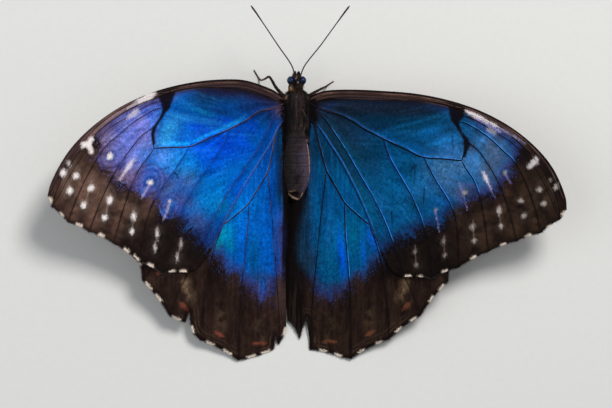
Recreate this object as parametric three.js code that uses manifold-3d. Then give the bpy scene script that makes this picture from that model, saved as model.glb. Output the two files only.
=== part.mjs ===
// A blue morpho butterfly, life size, standing on its middle and hind legs with
// the wings spread in a shallow V. Millimetres, +Z up, floor at z = 0.
// The animal faces -Y; its right side is at -X.
import * as THREE from 'three';
import { mergeVertices } from 'three/addons/utils/BufferGeometryUtils.js';
import Module from 'manifold-3d';

const wasm = await Module();
wasm.setup();

// ---------------------------------------------------------------- dimensions
const WING_THICK = 0.5;        // wing plates
const SHEET_GAP = 0.75;        // hindwing sheet below the forewing sheet
const ROOT_SLOPE = rad(5);     // dihedral at the wing roots
const SLOPE_GAIN = rad(0.13);  // extra dihedral for each mm of span
const CAMBER = 0.7;            // fore and aft arch of the wing sheet
const CAMBER_MID = -28;        // where the arch is highest, behind the roots
const CAMBER_HALF = 34;
const NOSE_UP = rad(8.5);      // pitch of the whole animal
const RIDE = 9.49;             // height of the wing roots above the floor
const CENTRE = [-2.066, 19.662]; // puts the middle of the outline on the origin
const FORE_ROOT = [3.4, 0.6];  // wing roots from the body's axis
const HIND_ROOT = [3.2, -2.6];
const SPLIT = 0.07;            // seams between neighbouring pieces
const FINGER = 0.26;           // least radius of legs and feelers

// The wings are the same on both sides but are not held quite alike:
// sweep, span, chord and shear of the right wing, the left one taking the
// opposite, with the shift of the blade that goes with them.
const FORE_SET = { sweep: -0.0271, span: 0.0311, chord: -0.0164, shear: 0.0618, out: 2.4565, fore: -0.999 };
const HIND_SAG = 0.27;          // the left hindwing's corner hangs a little lower
const HIND_SET = { sweep: -0.0307, span: -0.0125, chord: 0.0011, shear: -0.019, out: 0.2326, fore: 0.282 };
const SET_BLEND = 16;

// Outlines in wing coordinates: [outward, forward] from the wing root. The
// outer margin runs from the wing tip to the inner corner, a tooth at each vein.
const FORE_HINGE = [[-1.3, -0.2], [-1.3, -4.4]];
const FORE_COSTA = [[-1.3, -0.2], [0.2, 0.45], [2.2, 1.5], [5, 2.2], [12.5, 2.95], [24, 2.2], [36, -0.95], [46, -6.35], [53.6, -13.6], [57.7, -21.4], [58.2, -24.2]];
const FORE_TEETH = [[58.2, -24.2], [57.0, -26.6], [52.8, -30.1], [47.5, -32.2], [41.3, -34.9], [34.8, -39.0], [28.8, -41.8], [22.4, -41.6]];
const FORE_INNER = [[-1.3, -4.4], [1.2, -7.0], [3.3, -10.6], [6.8, -16.2], [10.6, -22.9], [13.8, -29.4], [16.3, -34.8], [18.6, -39.0], [20.3, -40.75], [22.4, -41.6]];
const FORE_SCALLOP = 0.32;
const HIND_HINGE = [[-1.1, 0.6], [-1.3, -5.4]];
const HIND_COSTA = [[-1.1, 0.6], [2.2, 1.1], [9, 0.6], [18, -3.4], [26.5, -11.5], [32.4, -21.5], [34.8, -28.5]];
const HIND_TEETH = [[34.8, -28.5], [34.9, -33.6], [33.4, -39.7], [26.9, -48.1], [19.5, -53.9], [10.4, -58.75]];
const HIND_SCALLOP = 0.42;
// A nick worn in the left hindwing, and what follows the last tooth: the
// corner of the wing, a short slit, and on the right the tip of the fold. A
// third and fourth number give the place the point would have with no slit.
const NICK_LEFT = [[25.2, -48.9], [24.0, -49.4], [23.05, -49.6, 23.2, -50.0], [22.1, -46.6, 22.5, -50.6], [21.7, -50.4, 21.85, -51.2], [21.1, -52.3]];
const CORNER_LEFT = [[8.2, -58.3], [5.6, -57.6], [2.8, -56.65], [1.78, -55.9], [1.48, -53.0, 1.3, -55.35], [0.72, -54.96], [0.1, -54.0], [-0.6, -52.7]];
const CORNER_RIGHT = [[8.2, -58.4], [5.6, -57.5], [2.8, -56.95], [0.4, -56.75], [0.64, -53.6, 0.1, -56.5], [0.54, -51.6, -0.15, -56.2], [0.22, -50.0, -0.37, -55.95], [-0.36, -49.0, -0.6, -55.65], [-0.9, -50.3, -0.9, -55.3], [-1.5, -52.1, -1.35, -54.85], [-2.03, -54.15], [-2.8, -52.3], [-4.0, -50.6]];

// The inner edge of each hindwing bends down beside and behind the abdomen:
// the line of the bend, then the width and angle of what hangs from it.
const FOLD_LINE = [[0.1, -10], [-0.1, -20], [-0.5, -33], [-0.9, -46], [-1.1, -52]];
const FOLD_RIGHT = { width: 6.0, rear: 0.66, from: -38, to: -50, end: -49.9, dip: [[-14, 46], [-20, 38], [-34, 27], [-47, 13], [-58, 4]] };
const FOLD_LEFT = { width: 1.7, rear: 0.05, from: -26, to: -36, end: -51.0, dip: [[-14, 62], [-20, 62], [-34, 60], [-47, 30], [-58, 8]] };

function rad(d) { return d * Math.PI / 180; }
function clamp(x, a, b) { return Math.min(b, Math.max(a, x)); }
function smooth(a, b, x) { const t = clamp((x - a) / (b - a), 0, 1); return t * t * (3 - 2 * t); }
function lerp(a, b, t) { return a + (b - a) * t; }
// piecewise curve through [x, y] pairs, smoothed, x rising or falling
function table(rows, x) {
  const up = rows[rows.length - 1][0] > rows[0][0];
  const r = up ? rows : [...rows].reverse();
  if (x <= r[0][0]) return r[0][1];
  for (let i = 1; i < r.length; i++) {
    if (x <= r[i][0]) {
      const h = r[i][0] - r[i - 1][0], t = (x - r[i - 1][0]) / h;
      const s = (j) => (j <= 0 || j >= r.length - 1) ? 0 : (r[j + 1][1] - r[j - 1][1]) / (r[j + 1][0] - r[j - 1][0]);
      const m0 = i - 1 === 0 ? (r[1][1] - r[0][1]) / (r[1][0] - r[0][0]) : s(i - 1);
      const m1 = i === r.length - 1 ? (r[i][1] - r[i - 1][1]) / h : s(i);
      const t2 = t * t, t3 = t2 * t;
      return (2 * t3 - 3 * t2 + 1) * r[i - 1][1] + (t3 - 2 * t2 + t) * h * m0 + (-2 * t3 + 3 * t2) * r[i][1] + (t3 - t2) * h * m1;
    }
  }
  return r[r.length - 1][1];
}

// ------------------------------------------------------------------ frames
// Body frame: x to the animal's right, y forward, z towards its back, with the
// wing roots at z = 0. place() pitches it, stands it on the floor and turns it.
function place(x, y, z) {
  const c = Math.cos(NOSE_UP), s = Math.sin(NOSE_UP);
  return new THREE.Vector3(-x - CENTRE[0], -(y * c - z * s) - CENTRE[1], y * s + z * c + RIDE);
}
// Standing frame: x and y as above after pitching, z the height above the floor.
function stand(x, y, z) { return new THREE.Vector3(-x - CENTRE[0], -y - CENTRE[1], z); }

function arch(y) { return CAMBER * (1 - ((y - CAMBER_MID) / CAMBER_HALF) ** 2); }

function sheet(side, u, v, root, set, drop, fold) {
  const r = clamp(Math.hypot(u, v) / SET_BLEND, 0, 1), w = r * r * (3 - 2 * r) * side;
  let inward = 0, dip = 0;
  if (fold) {
    const line = foldLine(v);
    if (u < line) { inward = line - u; u = line; dip = rad(table(fold.dip, v)); }
  }
  const u1 = u + w * (set.span * u + set.shear * v + set.out);
  const v1 = v + w * (set.chord * v + set.fore);
  const a = side * set.sweep, c = Math.cos(a), s = Math.sin(a);
  const u2 = u1 * c - v1 * s, v2 = u1 * s + v1 * c;
  const slope = ROOT_SLOPE + SLOPE_GAIN * u2;
  let x = root[0] + (Math.sin(slope) - Math.sin(ROOT_SLOPE)) / SLOPE_GAIN;
  let z = (Math.cos(ROOT_SLOPE) - Math.cos(slope)) / SLOPE_GAIN - drop;
  const y = root[1] + v2;
  z += arch(y);
  if (drop && side < 0) z -= HIND_SAG * smooth(-30, -56, v);
  if (inward > 0) {                         // ease into the fold over its first millimetre
    const e = 1.2, t = Math.min(inward, e), soft = t - t * t / (2 * e), hard = t * t / (2 * e) + Math.max(0, inward - e);
    x -= soft + hard * Math.cos(dip);
    z -= hard * Math.sin(dip) + (soft) * Math.tan(ROOT_SLOPE);
  }
  return place(side * x, y, z);
}

// --------------------------------------------------------------- solid tools
function tidy(geometry) {
  const g = geometry.clone();
  g.deleteAttribute('normal');
  g.deleteAttribute('uv');
  return mergeVertices(g, 1e-4);
}
function solidOf(geometry) {
  const g = tidy(geometry);
  return new wasm.Manifold(new wasm.Mesh({ numProp: 3, vertProperties: new Float32Array(g.attributes.position.array), triVerts: new Uint32Array(g.index.array) }));
}
// Vertices closer than the grid become one, and the slivers that collapse go.
const GRID = 0.002;
function geometryOf(solid) {
  const m = solid.getMesh(), g = new THREE.BufferGeometry(), keys = new Map(), p = [], index = [];
  for (let i = 0; i < m.vertProperties.length; i += m.numProp) {
    const q = [0, 1, 2].map((k) => Math.round(m.vertProperties[i + k] / GRID) * GRID), key = q.map((x) => x.toFixed(3)).join();
    if (!keys.has(key)) { keys.set(key, p.length / 3); p.push(...q); }
    index.push(keys.get(key));
  }
  const faces = new Map();
  for (let i = 0; i < m.triVerts.length; i += 3) {
    const f = [0, 1, 2].map((k) => index[m.triVerts[i + k]]);
    if (f[0] === f[1] || f[1] === f[2] || f[0] === f[2]) continue;
    const key = [...f].sort((a, b) => a - b).join();
    if (faces.has(key)) faces.delete(key); else faces.set(key, f);   // a face and its own back cancel
  }
  g.setAttribute('position', new THREE.Float32BufferAttribute(p, 3));
  g.setIndex([...faces.values()].flat());
  return g;
}
function largest(solid) {
  const parts = solid.decompose();
  return parts.reduce((a, b) => (b.volume() > a.volume() ? b : a));
}
const floorBox = solidOf(new THREE.BoxGeometry(400, 400, 20).translate(0, 0, -10));

// Turns a cylinder into a run of sections: at(t, cx, cz) gives the point at
// distance t in 0..1 for a direction (cx, cz) of length 1, or 0 on the cap.
function run(sides, rings, at, flip) {
  const g = new THREE.CylinderGeometry(1, 1, 1, sides, rings, false);
  const p = g.attributes.position;
  for (let i = 0; i < p.count; i++) {
    const v = at(0.5 - p.getY(i), p.getX(i), p.getZ(i));
    p.setXYZ(i, v.x, v.y, v.z);
  }
  const out = tidy(g);
  if (flip) { const ix = out.index.array; for (let i = 0; i < ix.length; i += 3) { const k = ix[i]; ix[i] = ix[i + 1]; ix[i + 1] = k; } }
  return out;
}
function outward(g) {               // faces must point out: check the signed volume
  const p = g.attributes.position.array, ix = g.index.array;
  let vol = 0;
  for (let i = 0; i < ix.length; i += 3) {
    const a = ix[i] * 3, b = ix[i + 1] * 3, c = ix[i + 2] * 3;
    vol += p[a] * (p[b + 1] * p[c + 2] - p[b + 2] * p[c + 1]) + p[a + 1] * (p[b + 2] * p[c] - p[b] * p[c + 2]) + p[a + 2] * (p[b] * p[c + 1] - p[b + 1] * p[c]);
  }
  if (vol < 0) for (let i = 0; i < ix.length; i += 3) { const k = ix[i]; ix[i] = ix[i + 1]; ix[i + 1] = k; }
  return g;
}
// A rod along a smooth curve with a varying radius.
function rod(points, radii, sides, rings, squash = 1) {
  const curve = new THREE.CatmullRomCurve3(points, false, 'centripetal');
  const frames = curve.computeFrenetFrames(rings, false);
  const rows = radii.map((r, i) => [i / (radii.length - 1), r]);
  return outward(run(sides, rings, (t, cx, cz) => {
    const i = Math.round(clamp(t, 0, 1) * rings), c = curve.getPointAt(clamp(t, 0, 1)), r = table(rows, t);
    return c.addScaledVector(frames.normals[i], cx * r).addScaledVector(frames.binormals[i], cz * r * squash);
  }));
}

// --------------------------------------------------------------------- body
// Half width, top and bottom along the body axis, by distance forward.
const BODY_HALF = [[5.75, 0.72], [5.2, 1.0], [4.3, 1.3], [3.3, 1.58], [2.7, 1.55], [2.2, 1.85], [1.5, 2.35], [0.2, 2.62], [-3, 2.68], [-6.2, 2.5], [-7.6, 2.36], [-9.5, 2.6], [-12, 3.05], [-15.5, 3.38], [-18.6, 3.3], [-20.6, 2.82], [-22.2, 1.95], [-23.3, 1.0], [-23.7, 0.45]];
const BODY_TOP = [[5.75, 0.25], [5.2, 0.95], [4.3, 1.4], [3.3, 1.35], [2.7, 1.2], [2.2, 1.4], [1.2, 1.85], [-1, 2.3], [-3.5, 2.4], [-6.2, 1.95], [-7.6, 1.5], [-10, 1.5], [-14, 1.6], [-17.5, 1.42], [-20.4, 0.85], [-22.4, 0.1], [-23.7, -0.75]];
const BODY_LOW = [[5.75, -1.0], [5.2, -1.55], [4.3, -1.75], [3.3, -1.6], [2.7, -1.55], [2.2, -1.9], [1.2, -2.8], [-1, -3.5], [-3.5, -3.7], [-6.2, -3.15], [-7.6, -2.65], [-10, -2.75], [-14, -3.1], [-17.5, -2.95], [-20.4, -2.45], [-22.4, -1.8], [-23.7, -1.2]];
function trunk(front, back, sides, rings, grow = 0) {
  return outward(run(sides, rings, (t, cx, cz) => {
    const y = lerp(front + (grow ? grow : 0), back - (grow ? grow : 0), t);
    const yy = clamp(y, back, front);
    const hw = table(BODY_HALF, yy) + grow, top = table(BODY_TOP, yy) + grow, low = table(BODY_LOW, yy) - grow;
    const mid = (top + low) / 2, hh = (top - low) / 2;
    return place(cx * hw, y, mid + cz * hh);
  }));
}
const HEAD_FRONT = 5.75, NECK = 2.75, CHEST = 1.75, WAIST = -7.4, TAIL = -23.7;

// ---------------------------------------------------------------------- eyes
const EYE_AT = [1.33, 4.55, -0.1], EYE_R = [0.98, 1.04, 1.28];
function eye(side, grow = 0) {
  const g = tidy(new THREE.SphereGeometry(1, 13, 9));
  const p = g.attributes.position;
  for (let i = 0; i < p.count; i++) {
    const v = place(side * EYE_AT[0] + p.getX(i) * (EYE_R[0] + grow), EYE_AT[1] + p.getZ(i) * (EYE_R[1] + grow), EYE_AT[2] + p.getY(i) * (EYE_R[2] + grow));
    p.setXYZ(i, v.x, v.y, v.z);
  }
  return outward(g);
}

// --------------------------------------------------------------------- wings
function along(points, n) {          // n + 1 even stations on a smooth line
  const c = new THREE.CatmullRomCurve3(points.map(([a, b]) => new THREE.Vector3(a, b, 0)), false, 'centripetal');
  c.arcLengthDivisions = 400;
  return Array.from({ length: n + 1 }, (_, k) => { const q = c.getPointAt(k / n); return [q.x, q.y]; });
}
// Teeth joined by shallow hollows that bend towards the wing root.
function scallops(teeth, depth, per, worn) {
  const out = [];
  for (let i = 0; i + 1 < teeth.length; i++) {
    const [ax, ay] = teeth[i], [bx, by] = teeth[i + 1];
    const len = Math.hypot(bx - ax, by - ay), nx = (by - ay) / len, ny = -(bx - ax) / len;
    out.push(teeth[i]);
    if (worn && i === worn.cell) { out.push(...worn.points); continue; }
    for (let k = 1; k < per; k++) {
      const t = k / per, h = depth * Math.min(1, len / 5) * Math.sin(Math.PI * t) ** 0.8;
      out.push([lerp(ax, bx, t) + nx * h, lerp(ay, by, t) + ny * h]);
    }
  }
  out.push(teeth[teeth.length - 1]);
  return out;
}
const foreMargin = scallops(FORE_TEETH, FORE_SCALLOP, 4);
function hindMargin(side) {
  const worn = side < 0 ? { cell: 3, points: NICK_LEFT } : null;
  const fold = side > 0 ? FOLD_RIGHT : FOLD_LEFT;
  return [...scallops(HIND_TEETH, HIND_SCALLOP, 4, worn), ...(side > 0 ? CORNER_RIGHT : CORNER_LEFT), foldEdge(fold, fold.end)];
}
function foldLine(v) { return table(FOLD_LINE.map(([a, b]) => [b, a]), v); }
function foldEdge(fold, v) {
  return [foldLine(v) - fold.width * smooth(-14.5, -19.5, v) * lerp(1, fold.rear, smooth(fold.from, fold.to, v)), v];
}
function hindInner(fold, n) {
  const v0 = HIND_HINGE[1][1];
  return Array.from({ length: n + 1 }, (_, k) => {
    const [u, v] = foldEdge(fold, lerp(v0, fold.end, k / n));
    return [lerp(HIND_HINGE[1][0], u, smooth(v0, v0 - 5, v)), v];
  });
}
// A plate filled between four edges: hinge, outer margin, leading and inner edge.
function wing(side, root, set, drop, hinge, margin, lead, inner, fold) {
  const n = margin.length - 1, m = lead.length - 1;
  const plain = margin.map((q) => (q.length > 2 ? [q[2], q[3]] : q));
  const far = [0];
  for (let i = 1; i <= n; i++) far.push(far[i - 1] + Math.hypot(plain[i][0] - plain[i - 1][0], plain[i][1] - plain[i - 1][1]));
  const g = new THREE.BoxGeometry(1, 1, 1, n, m, 1);
  const p = g.attributes.position;
  for (let i = 0; i < p.count; i++) {
    const a = Math.round((p.getX(i) + 0.5) * n), b = Math.round((p.getY(i) + 0.5) * m), h = Math.sign(p.getZ(i));
    const s = far[a] / far[n], t = b / m, near = clamp((t - 0.4) / 0.6, 0, 1);
    const at = (k) => (1 - t) * lerp(hinge[0][k], hinge[1][k], s) + t * plain[a][k] + near * (margin[a][k] - plain[a][k]) + (1 - s) * lead[b][k] + s * inner[b][k]
      - (1 - s) * ((1 - t) * hinge[0][k] + t * margin[0][k]) - s * ((1 - t) * hinge[1][k] + t * margin[n][k]);
    const u = at(0), v = at(1), e = 0.02;
    const c = sheet(side, u, v, root, set, drop, fold);
    const du = sheet(side, u + e, v, root, set, drop, fold).sub(sheet(side, u - e, v, root, set, drop, fold));
    const dv = sheet(side, u, v + e, root, set, drop, fold).sub(sheet(side, u, v - e, root, set, drop, fold));
    const normal = du.cross(dv).normalize();
    if (normal.z < 0) normal.negate();
    c.addScaledVector(normal, h * WING_THICK / 2);
    p.setXYZ(i, c.x, c.y, c.z);
  }
  return outward(tidy(g));
}

// ---------------------------------------------------------------------- legs
const KNEE_R = 0.36;
function leg(points, side, foot) {
  return rod(points.map(([x, y, z]) => stand(side * x, y, z)), foot, 6, 15);
}
const LEGS = {
  // coxa, hip, thigh, knee, shin, ankle, foot, claw
  midleg_left: { side: -1, path: [[1.1, -0.9, 6.9], [2.4, 1.0, 6.5], [4.5, 3.2, 7.3], [6.0, 5.6, 7.6], [6.75, 5.65, 4.4], [7.3, 5.9, 0.9], [7.8, 6.75, 0.23], [8.65, 8.25, 0.22]] },
  midleg_right: { side: 1, path: [[1.1, -0.9, 6.9], [2.5, 0.7, 6.4], [4.6, 2.0, 7.2], [6.2, 2.85, 7.1], [7.6, 3.7, 4.0], [8.7, 4.4, 0.9], [9.3, 4.85, 0.23], [10.4, 5.55, 0.22]] },
  hindleg_left: { side: -1, path: [[1.1, -3.8, 6.3], [2.3, -4.9, 5.6], [4.5, -6.8, 5.7], [6.6, -8.5, 5.3], [7.6, -10.2, 3.1], [8.5, -11.9, 0.8], [9.2, -13.3, 0.23], [10.2, -15.5, 0.22]] },
  hindleg_right: { side: 1, path: [[1.1, -3.8, 6.3], [2.3, -4.7, 5.6], [4.6, -6.3, 5.7], [6.9, -7.7, 5.3], [8.1, -9.3, 3.1], [9.1, -10.9, 0.8], [9.9, -12.2, 0.23], [11.2, -14.3, 0.22]] },
};
const LEG_RADII = [0.5, 0.46, 0.42, KNEE_R, 0.3, 0.27, 0.27, 0.25];
const FORELEG = [[0.75, 1.9, 7.6], [1.2, 2.5, 6.7], [1.25, 3.4, 6.3], [1.05, 4.2, 6.4], [1.0, 4.9, 6.6]];
const FORELEG_RADII = [0.42, 0.34, 0.3, 0.27, 0.26];

// ------------------------------------------------------------------- feelers
const ANTENNA = [[0.66, 5.1, 0.9], [0.84, 6.2, 1.6], [1.56, 8.1, 2.4], [4.95, 12.7, 4.0], [8.2, 17.3, 4.95], [10.4, 20.4, 5.5], [11.6, 22.0, 5.75]];
const ANTENNA_RADII = [0.34, 0.27, 0.26, 0.26, 0.26, 0.27, 0.27, 0.28, 0.33, 0.38, 0.3];
const PALP = [[0.44, 4.95, -0.95], [0.5, 5.6, -0.75], [0.47, 6.2, -0.15], [0.4, 6.65, 0.6]];
const PALP_RADII = [0.34, 0.38, 0.34, 0.25];
// The sucking tube, coiled under the head.
const COIL = { y: 4.75, z: -2.42, outer: 0.92, inner: 0.34, turns: 1.3 };

// -------------------------------------------------------------------- assembly
const trunkCut = solidOf(trunk(HEAD_FRONT, TAIL, 20, 40, SPLIT));   // the whole body, a little larger
const eyeCut = [solidOf(eye(-1, SPLIT)), solidOf(eye(1, SPLIT))];
const pieces = {};
pieces.head = solidOf(trunk(HEAD_FRONT, NECK, 16, 6)).subtract(eyeCut[0]).subtract(eyeCut[1]);
pieces.eye_left = solidOf(eye(-1));
pieces.eye_right = solidOf(eye(1));
pieces.prothorax = solidOf(trunk(NECK - SPLIT, CHEST + SPLIT, 18, 2));
pieces.thorax = solidOf(trunk(CHEST, WAIST, 18, 8));
pieces.abdomen = solidOf(trunk(WAIST - SPLIT, TAIL, 18, 13));

const coil = [];
for (let k = 0; k <= 12; k++) {
  const t = k / 12, r = lerp(COIL.outer, COIL.inner, t ** 0.8), a = Math.PI / 2 - 2 * Math.PI * COIL.turns * t;
  coil.push(place(0, COIL.y + r * Math.cos(a), COIL.z + r * Math.sin(a)));
}
pieces.proboscis = largest(solidOf(rod(coil, [FINGER, FINGER, 0.25, 0.25], 6, 16)).subtract(trunkCut));
for (const [name, side] of [['left', -1], ['right', 1]]) {
  const body = (s) => s.subtract(trunkCut).subtract(eyeCut[0]).subtract(eyeCut[1]);
  const fore = solidOf(wing(side, FORE_ROOT, FORE_SET, 0, FORE_HINGE, foreMargin, along(FORE_COSTA, 8), along(FORE_INNER, 8)));
  pieces['forewing_' + name] = largest(fore.subtract(trunkCut));
  const fold = side > 0 ? FOLD_RIGHT : FOLD_LEFT;
  const hind = solidOf(wing(side, HIND_ROOT, HIND_SET, SHEET_GAP, HIND_HINGE, hindMargin(side), along(HIND_COSTA, 9), hindInner(fold, 9), fold));
  pieces['hindwing_' + name] = largest(hind.subtract(trunkCut).subtract(floorBox));
  const ant = rod(ANTENNA.map(([x, y, z]) => place(side * x, y, z)), ANTENNA_RADII, 6, 12);
  pieces['antenna_' + name] = largest(body(solidOf(ant)));
  const palp = rod(PALP.map(([x, y, z]) => place(side * x, y, z)), PALP_RADII, 6, 6);
  pieces['palp_' + name] = largest(body(solidOf(palp)));
  const front = rod(FORELEG.map(([x, y, z]) => stand(side * x, y, z)), FORELEG_RADII, 6, 8);
  pieces['foreleg_' + name] = largest(body(solidOf(front)));
}
for (const [name, { side, path }] of Object.entries(LEGS)) {
  pieces[name] = largest(solidOf(leg(path, side, LEG_RADII)).subtract(trunkCut).subtract(floorBox));
}

const COLOURS = {
  head: ['#1c1714', 0.8, 0], prothorax: ['#2a211c', 0.85, 0], thorax: ['#3a302b', 0.85, 0], abdomen: ['#453a36', 0.8, 0],
  eye: ['#123b4a', 0.15, 0.1], forewing: ['#1668c4', 0.45, 0.4], hindwing: ['#1a78b8', 0.45, 0.4],
  antenna: ['#1f1510', 0.55, 0], palp: ['#231b16', 0.8, 0], proboscis: ['#1a1310', 0.5, 0], foreleg: ['#2b211b', 0.8, 0], midleg: ['#3a2b26', 0.6, 0], hindleg: ['#3a2b26', 0.6, 0],
};
const butterfly = new THREE.Group();
for (const [name, solid] of Object.entries(pieces)) {
  const [colour, roughness, metalness] = COLOURS[name.split('_')[0]];
  const mesh = new THREE.Mesh(geometryOf(solid), new THREE.MeshStandardMaterial({ color: new THREE.Color(colour), roughness, metalness }));
  mesh.name = name;
  butterfly.add(mesh);
}

export default butterfly;
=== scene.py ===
# A blue morpho butterfly: the looks. Shapes are worked out in millimetres, in
# the same frame as the solids, and written in metres.
import math
import bpy
import numpy as np
from mathutils import Matrix, Vector


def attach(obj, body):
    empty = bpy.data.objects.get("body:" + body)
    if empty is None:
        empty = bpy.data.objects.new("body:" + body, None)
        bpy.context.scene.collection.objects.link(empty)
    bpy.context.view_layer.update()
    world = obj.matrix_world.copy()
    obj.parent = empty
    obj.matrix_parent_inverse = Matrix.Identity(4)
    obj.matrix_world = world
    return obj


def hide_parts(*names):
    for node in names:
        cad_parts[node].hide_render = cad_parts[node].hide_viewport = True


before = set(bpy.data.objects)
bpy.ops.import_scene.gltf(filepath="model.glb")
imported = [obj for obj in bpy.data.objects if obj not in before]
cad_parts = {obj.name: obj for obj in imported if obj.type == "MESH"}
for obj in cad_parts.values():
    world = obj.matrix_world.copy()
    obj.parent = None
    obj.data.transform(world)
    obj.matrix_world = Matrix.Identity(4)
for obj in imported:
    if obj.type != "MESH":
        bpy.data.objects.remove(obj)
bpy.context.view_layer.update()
MM = 0.001
RAD = math.pi / 180


# ------------------------------------------------------------- small helpers
def clamp(x, a, b):
    return np.minimum(b, np.maximum(a, x))


def smooth(a, b, x):
    t = clamp((np.asarray(x, float) - a) / (b - a), 0, 1)
    return t * t * (3 - 2 * t)


def bump(x, mid, width):
    return np.exp(-(((x - mid) / width) ** 2))


def table(rows, x):
    r = np.array(rows, float)
    if r[-1, 0] < r[0, 0]:
        r = r[::-1]
    X, Y = r[:, 0], r[:, 1]
    n = len(X)
    m = np.empty(n)
    m[0] = (Y[1] - Y[0]) / (X[1] - X[0])
    m[-1] = (Y[-1] - Y[-2]) / (X[-1] - X[-2])
    m[1:-1] = (Y[2:] - Y[:-2]) / (X[2:] - X[:-2])
    x = np.clip(np.asarray(x, float), X[0], X[-1])
    i = np.clip(np.searchsorted(X, x) - 1, 0, n - 2)
    h = X[i + 1] - X[i]
    t = (x - X[i]) / h
    t2, t3 = t * t, t * t * t
    return (2 * t3 - 3 * t2 + 1) * Y[i] + (t3 - 2 * t2 + t) * h * m[i] + (3 * t2 - 2 * t3) * Y[i + 1] + (t3 - t2) * h * m[i + 1]


def spline(points, n):
    """n + 1 points at even steps along a smooth curve through the points."""
    P = np.array(points, float)
    E = np.vstack([2 * P[0] - P[1], P, 2 * P[-1] - P[-2]])
    rows = []
    t = np.linspace(0, 1, 33)[:-1, None]
    for i in range(len(P) - 1):
        p0, p1, p2, p3 = E[i:i + 4]
        d0, d1, d2 = (math.sqrt(np.linalg.norm(b - a)) for a, b in ((p0, p1), (p1, p2), (p2, p3)))
        a = ((p1 - p0) / d0 - (p2 - p0) / (d0 + d1) + (p2 - p1) / d1) * d1
        b = ((p2 - p1) / d1 - (p3 - p1) / (d1 + d2) + (p3 - p2) / d2) * d1
        rows.append(p1 + a * t + (3 * p2 - 3 * p1 - 2 * a - b) * t ** 2 + (2 * p1 - 2 * p2 + a + b) * t ** 3)
    Q = np.vstack(rows + [P[-1:]])
    s = np.concatenate([[0], np.cumsum(np.linalg.norm(np.diff(Q, axis=0), axis=1))])
    e = np.linspace(0, s[-1], n + 1)
    return np.stack([np.interp(e, s, Q[:, k]) for k in range(Q.shape[1])], -1)


def rand2(a, b, seed):
    n = (a.astype(np.int64) * 374761393 + b.astype(np.int64) * 668265263 + seed * 1442695041) & 0xFFFFFFFF
    n = ((n ^ (n >> 13)) * 1274126177) & 0xFFFFFFFF
    return ((n ^ (n >> 16)) & 0xFFFF) / 65535.0


def noise(x, y, seed=0):
    xi, yi = np.floor(x), np.floor(y)
    fx, fy = x - xi, y - yi
    fx, fy = fx * fx * (3 - 2 * fx), fy * fy * (3 - 2 * fy)
    a, b = rand2(xi, yi, seed), rand2(xi + 1, yi, seed)
    c, d = rand2(xi, yi + 1, seed), rand2(xi + 1, yi + 1, seed)
    return (a * (1 - fx) + b * fx) * (1 - fy) + (c * (1 - fx) + d * fx) * fy


def fbm(x, y, seed=0, octaves=3):
    total, amp, out = 0, 1, 0
    for k in range(octaves):
        out = out + amp * noise(x * 2 ** k, y * 2 ** k, seed + 17 * k)
        total += amp
        amp *= 0.55
    return out / total


def lin(*rgb):
    """A colour given as 0 to 255 display values, as linear light."""
    c = np.array(rgb, float) / 255
    return np.where(c <= 0.04045, c / 12.92, ((c + 0.055) / 1.055) ** 2.4)


def mix(a, b, m):
    m = np.asarray(m, float)
    if m.ndim:
        m = m[..., None]
    return a + (b - a) * m


def gain(c, w, r, g, b):
    return c * (1 + np.asarray(w)[..., None] * (np.array([r, g, b]) - 1))


def unit(v):
    return v / np.maximum(np.linalg.norm(v, axis=-1, keepdims=True), 1e-12)


# ------------------------------------------------------------------- frames
NOSE_UP, RIDE, CENTRE = 8.5 * RAD, 9.49, (-2.066, 19.662)


def turn(D):
    c, s = math.cos(NOSE_UP), math.sin(NOSE_UP)
    x, y, z = D[..., 0], D[..., 1], D[..., 2]
    return np.stack([-x, -(y * c - z * s), y * s + z * c], -1)


def place(P):
    return turn(np.asarray(P, float)) + np.array([-CENTRE[0], -CENTRE[1], RIDE])


def unplace(W):
    c, s = math.cos(NOSE_UP), math.sin(NOSE_UP)
    x, y1, z1 = -(W[..., 0] + CENTRE[0]), -(W[..., 1] + CENTRE[1]), W[..., 2] - RIDE
    return np.stack([x, y1 * c + z1 * s, -y1 * s + z1 * c], -1)


def stand(P):
    P = np.asarray(P, float)
    return np.stack([-P[..., 0] - CENTRE[0], -P[..., 1] - CENTRE[1], P[..., 2]], -1)


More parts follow.
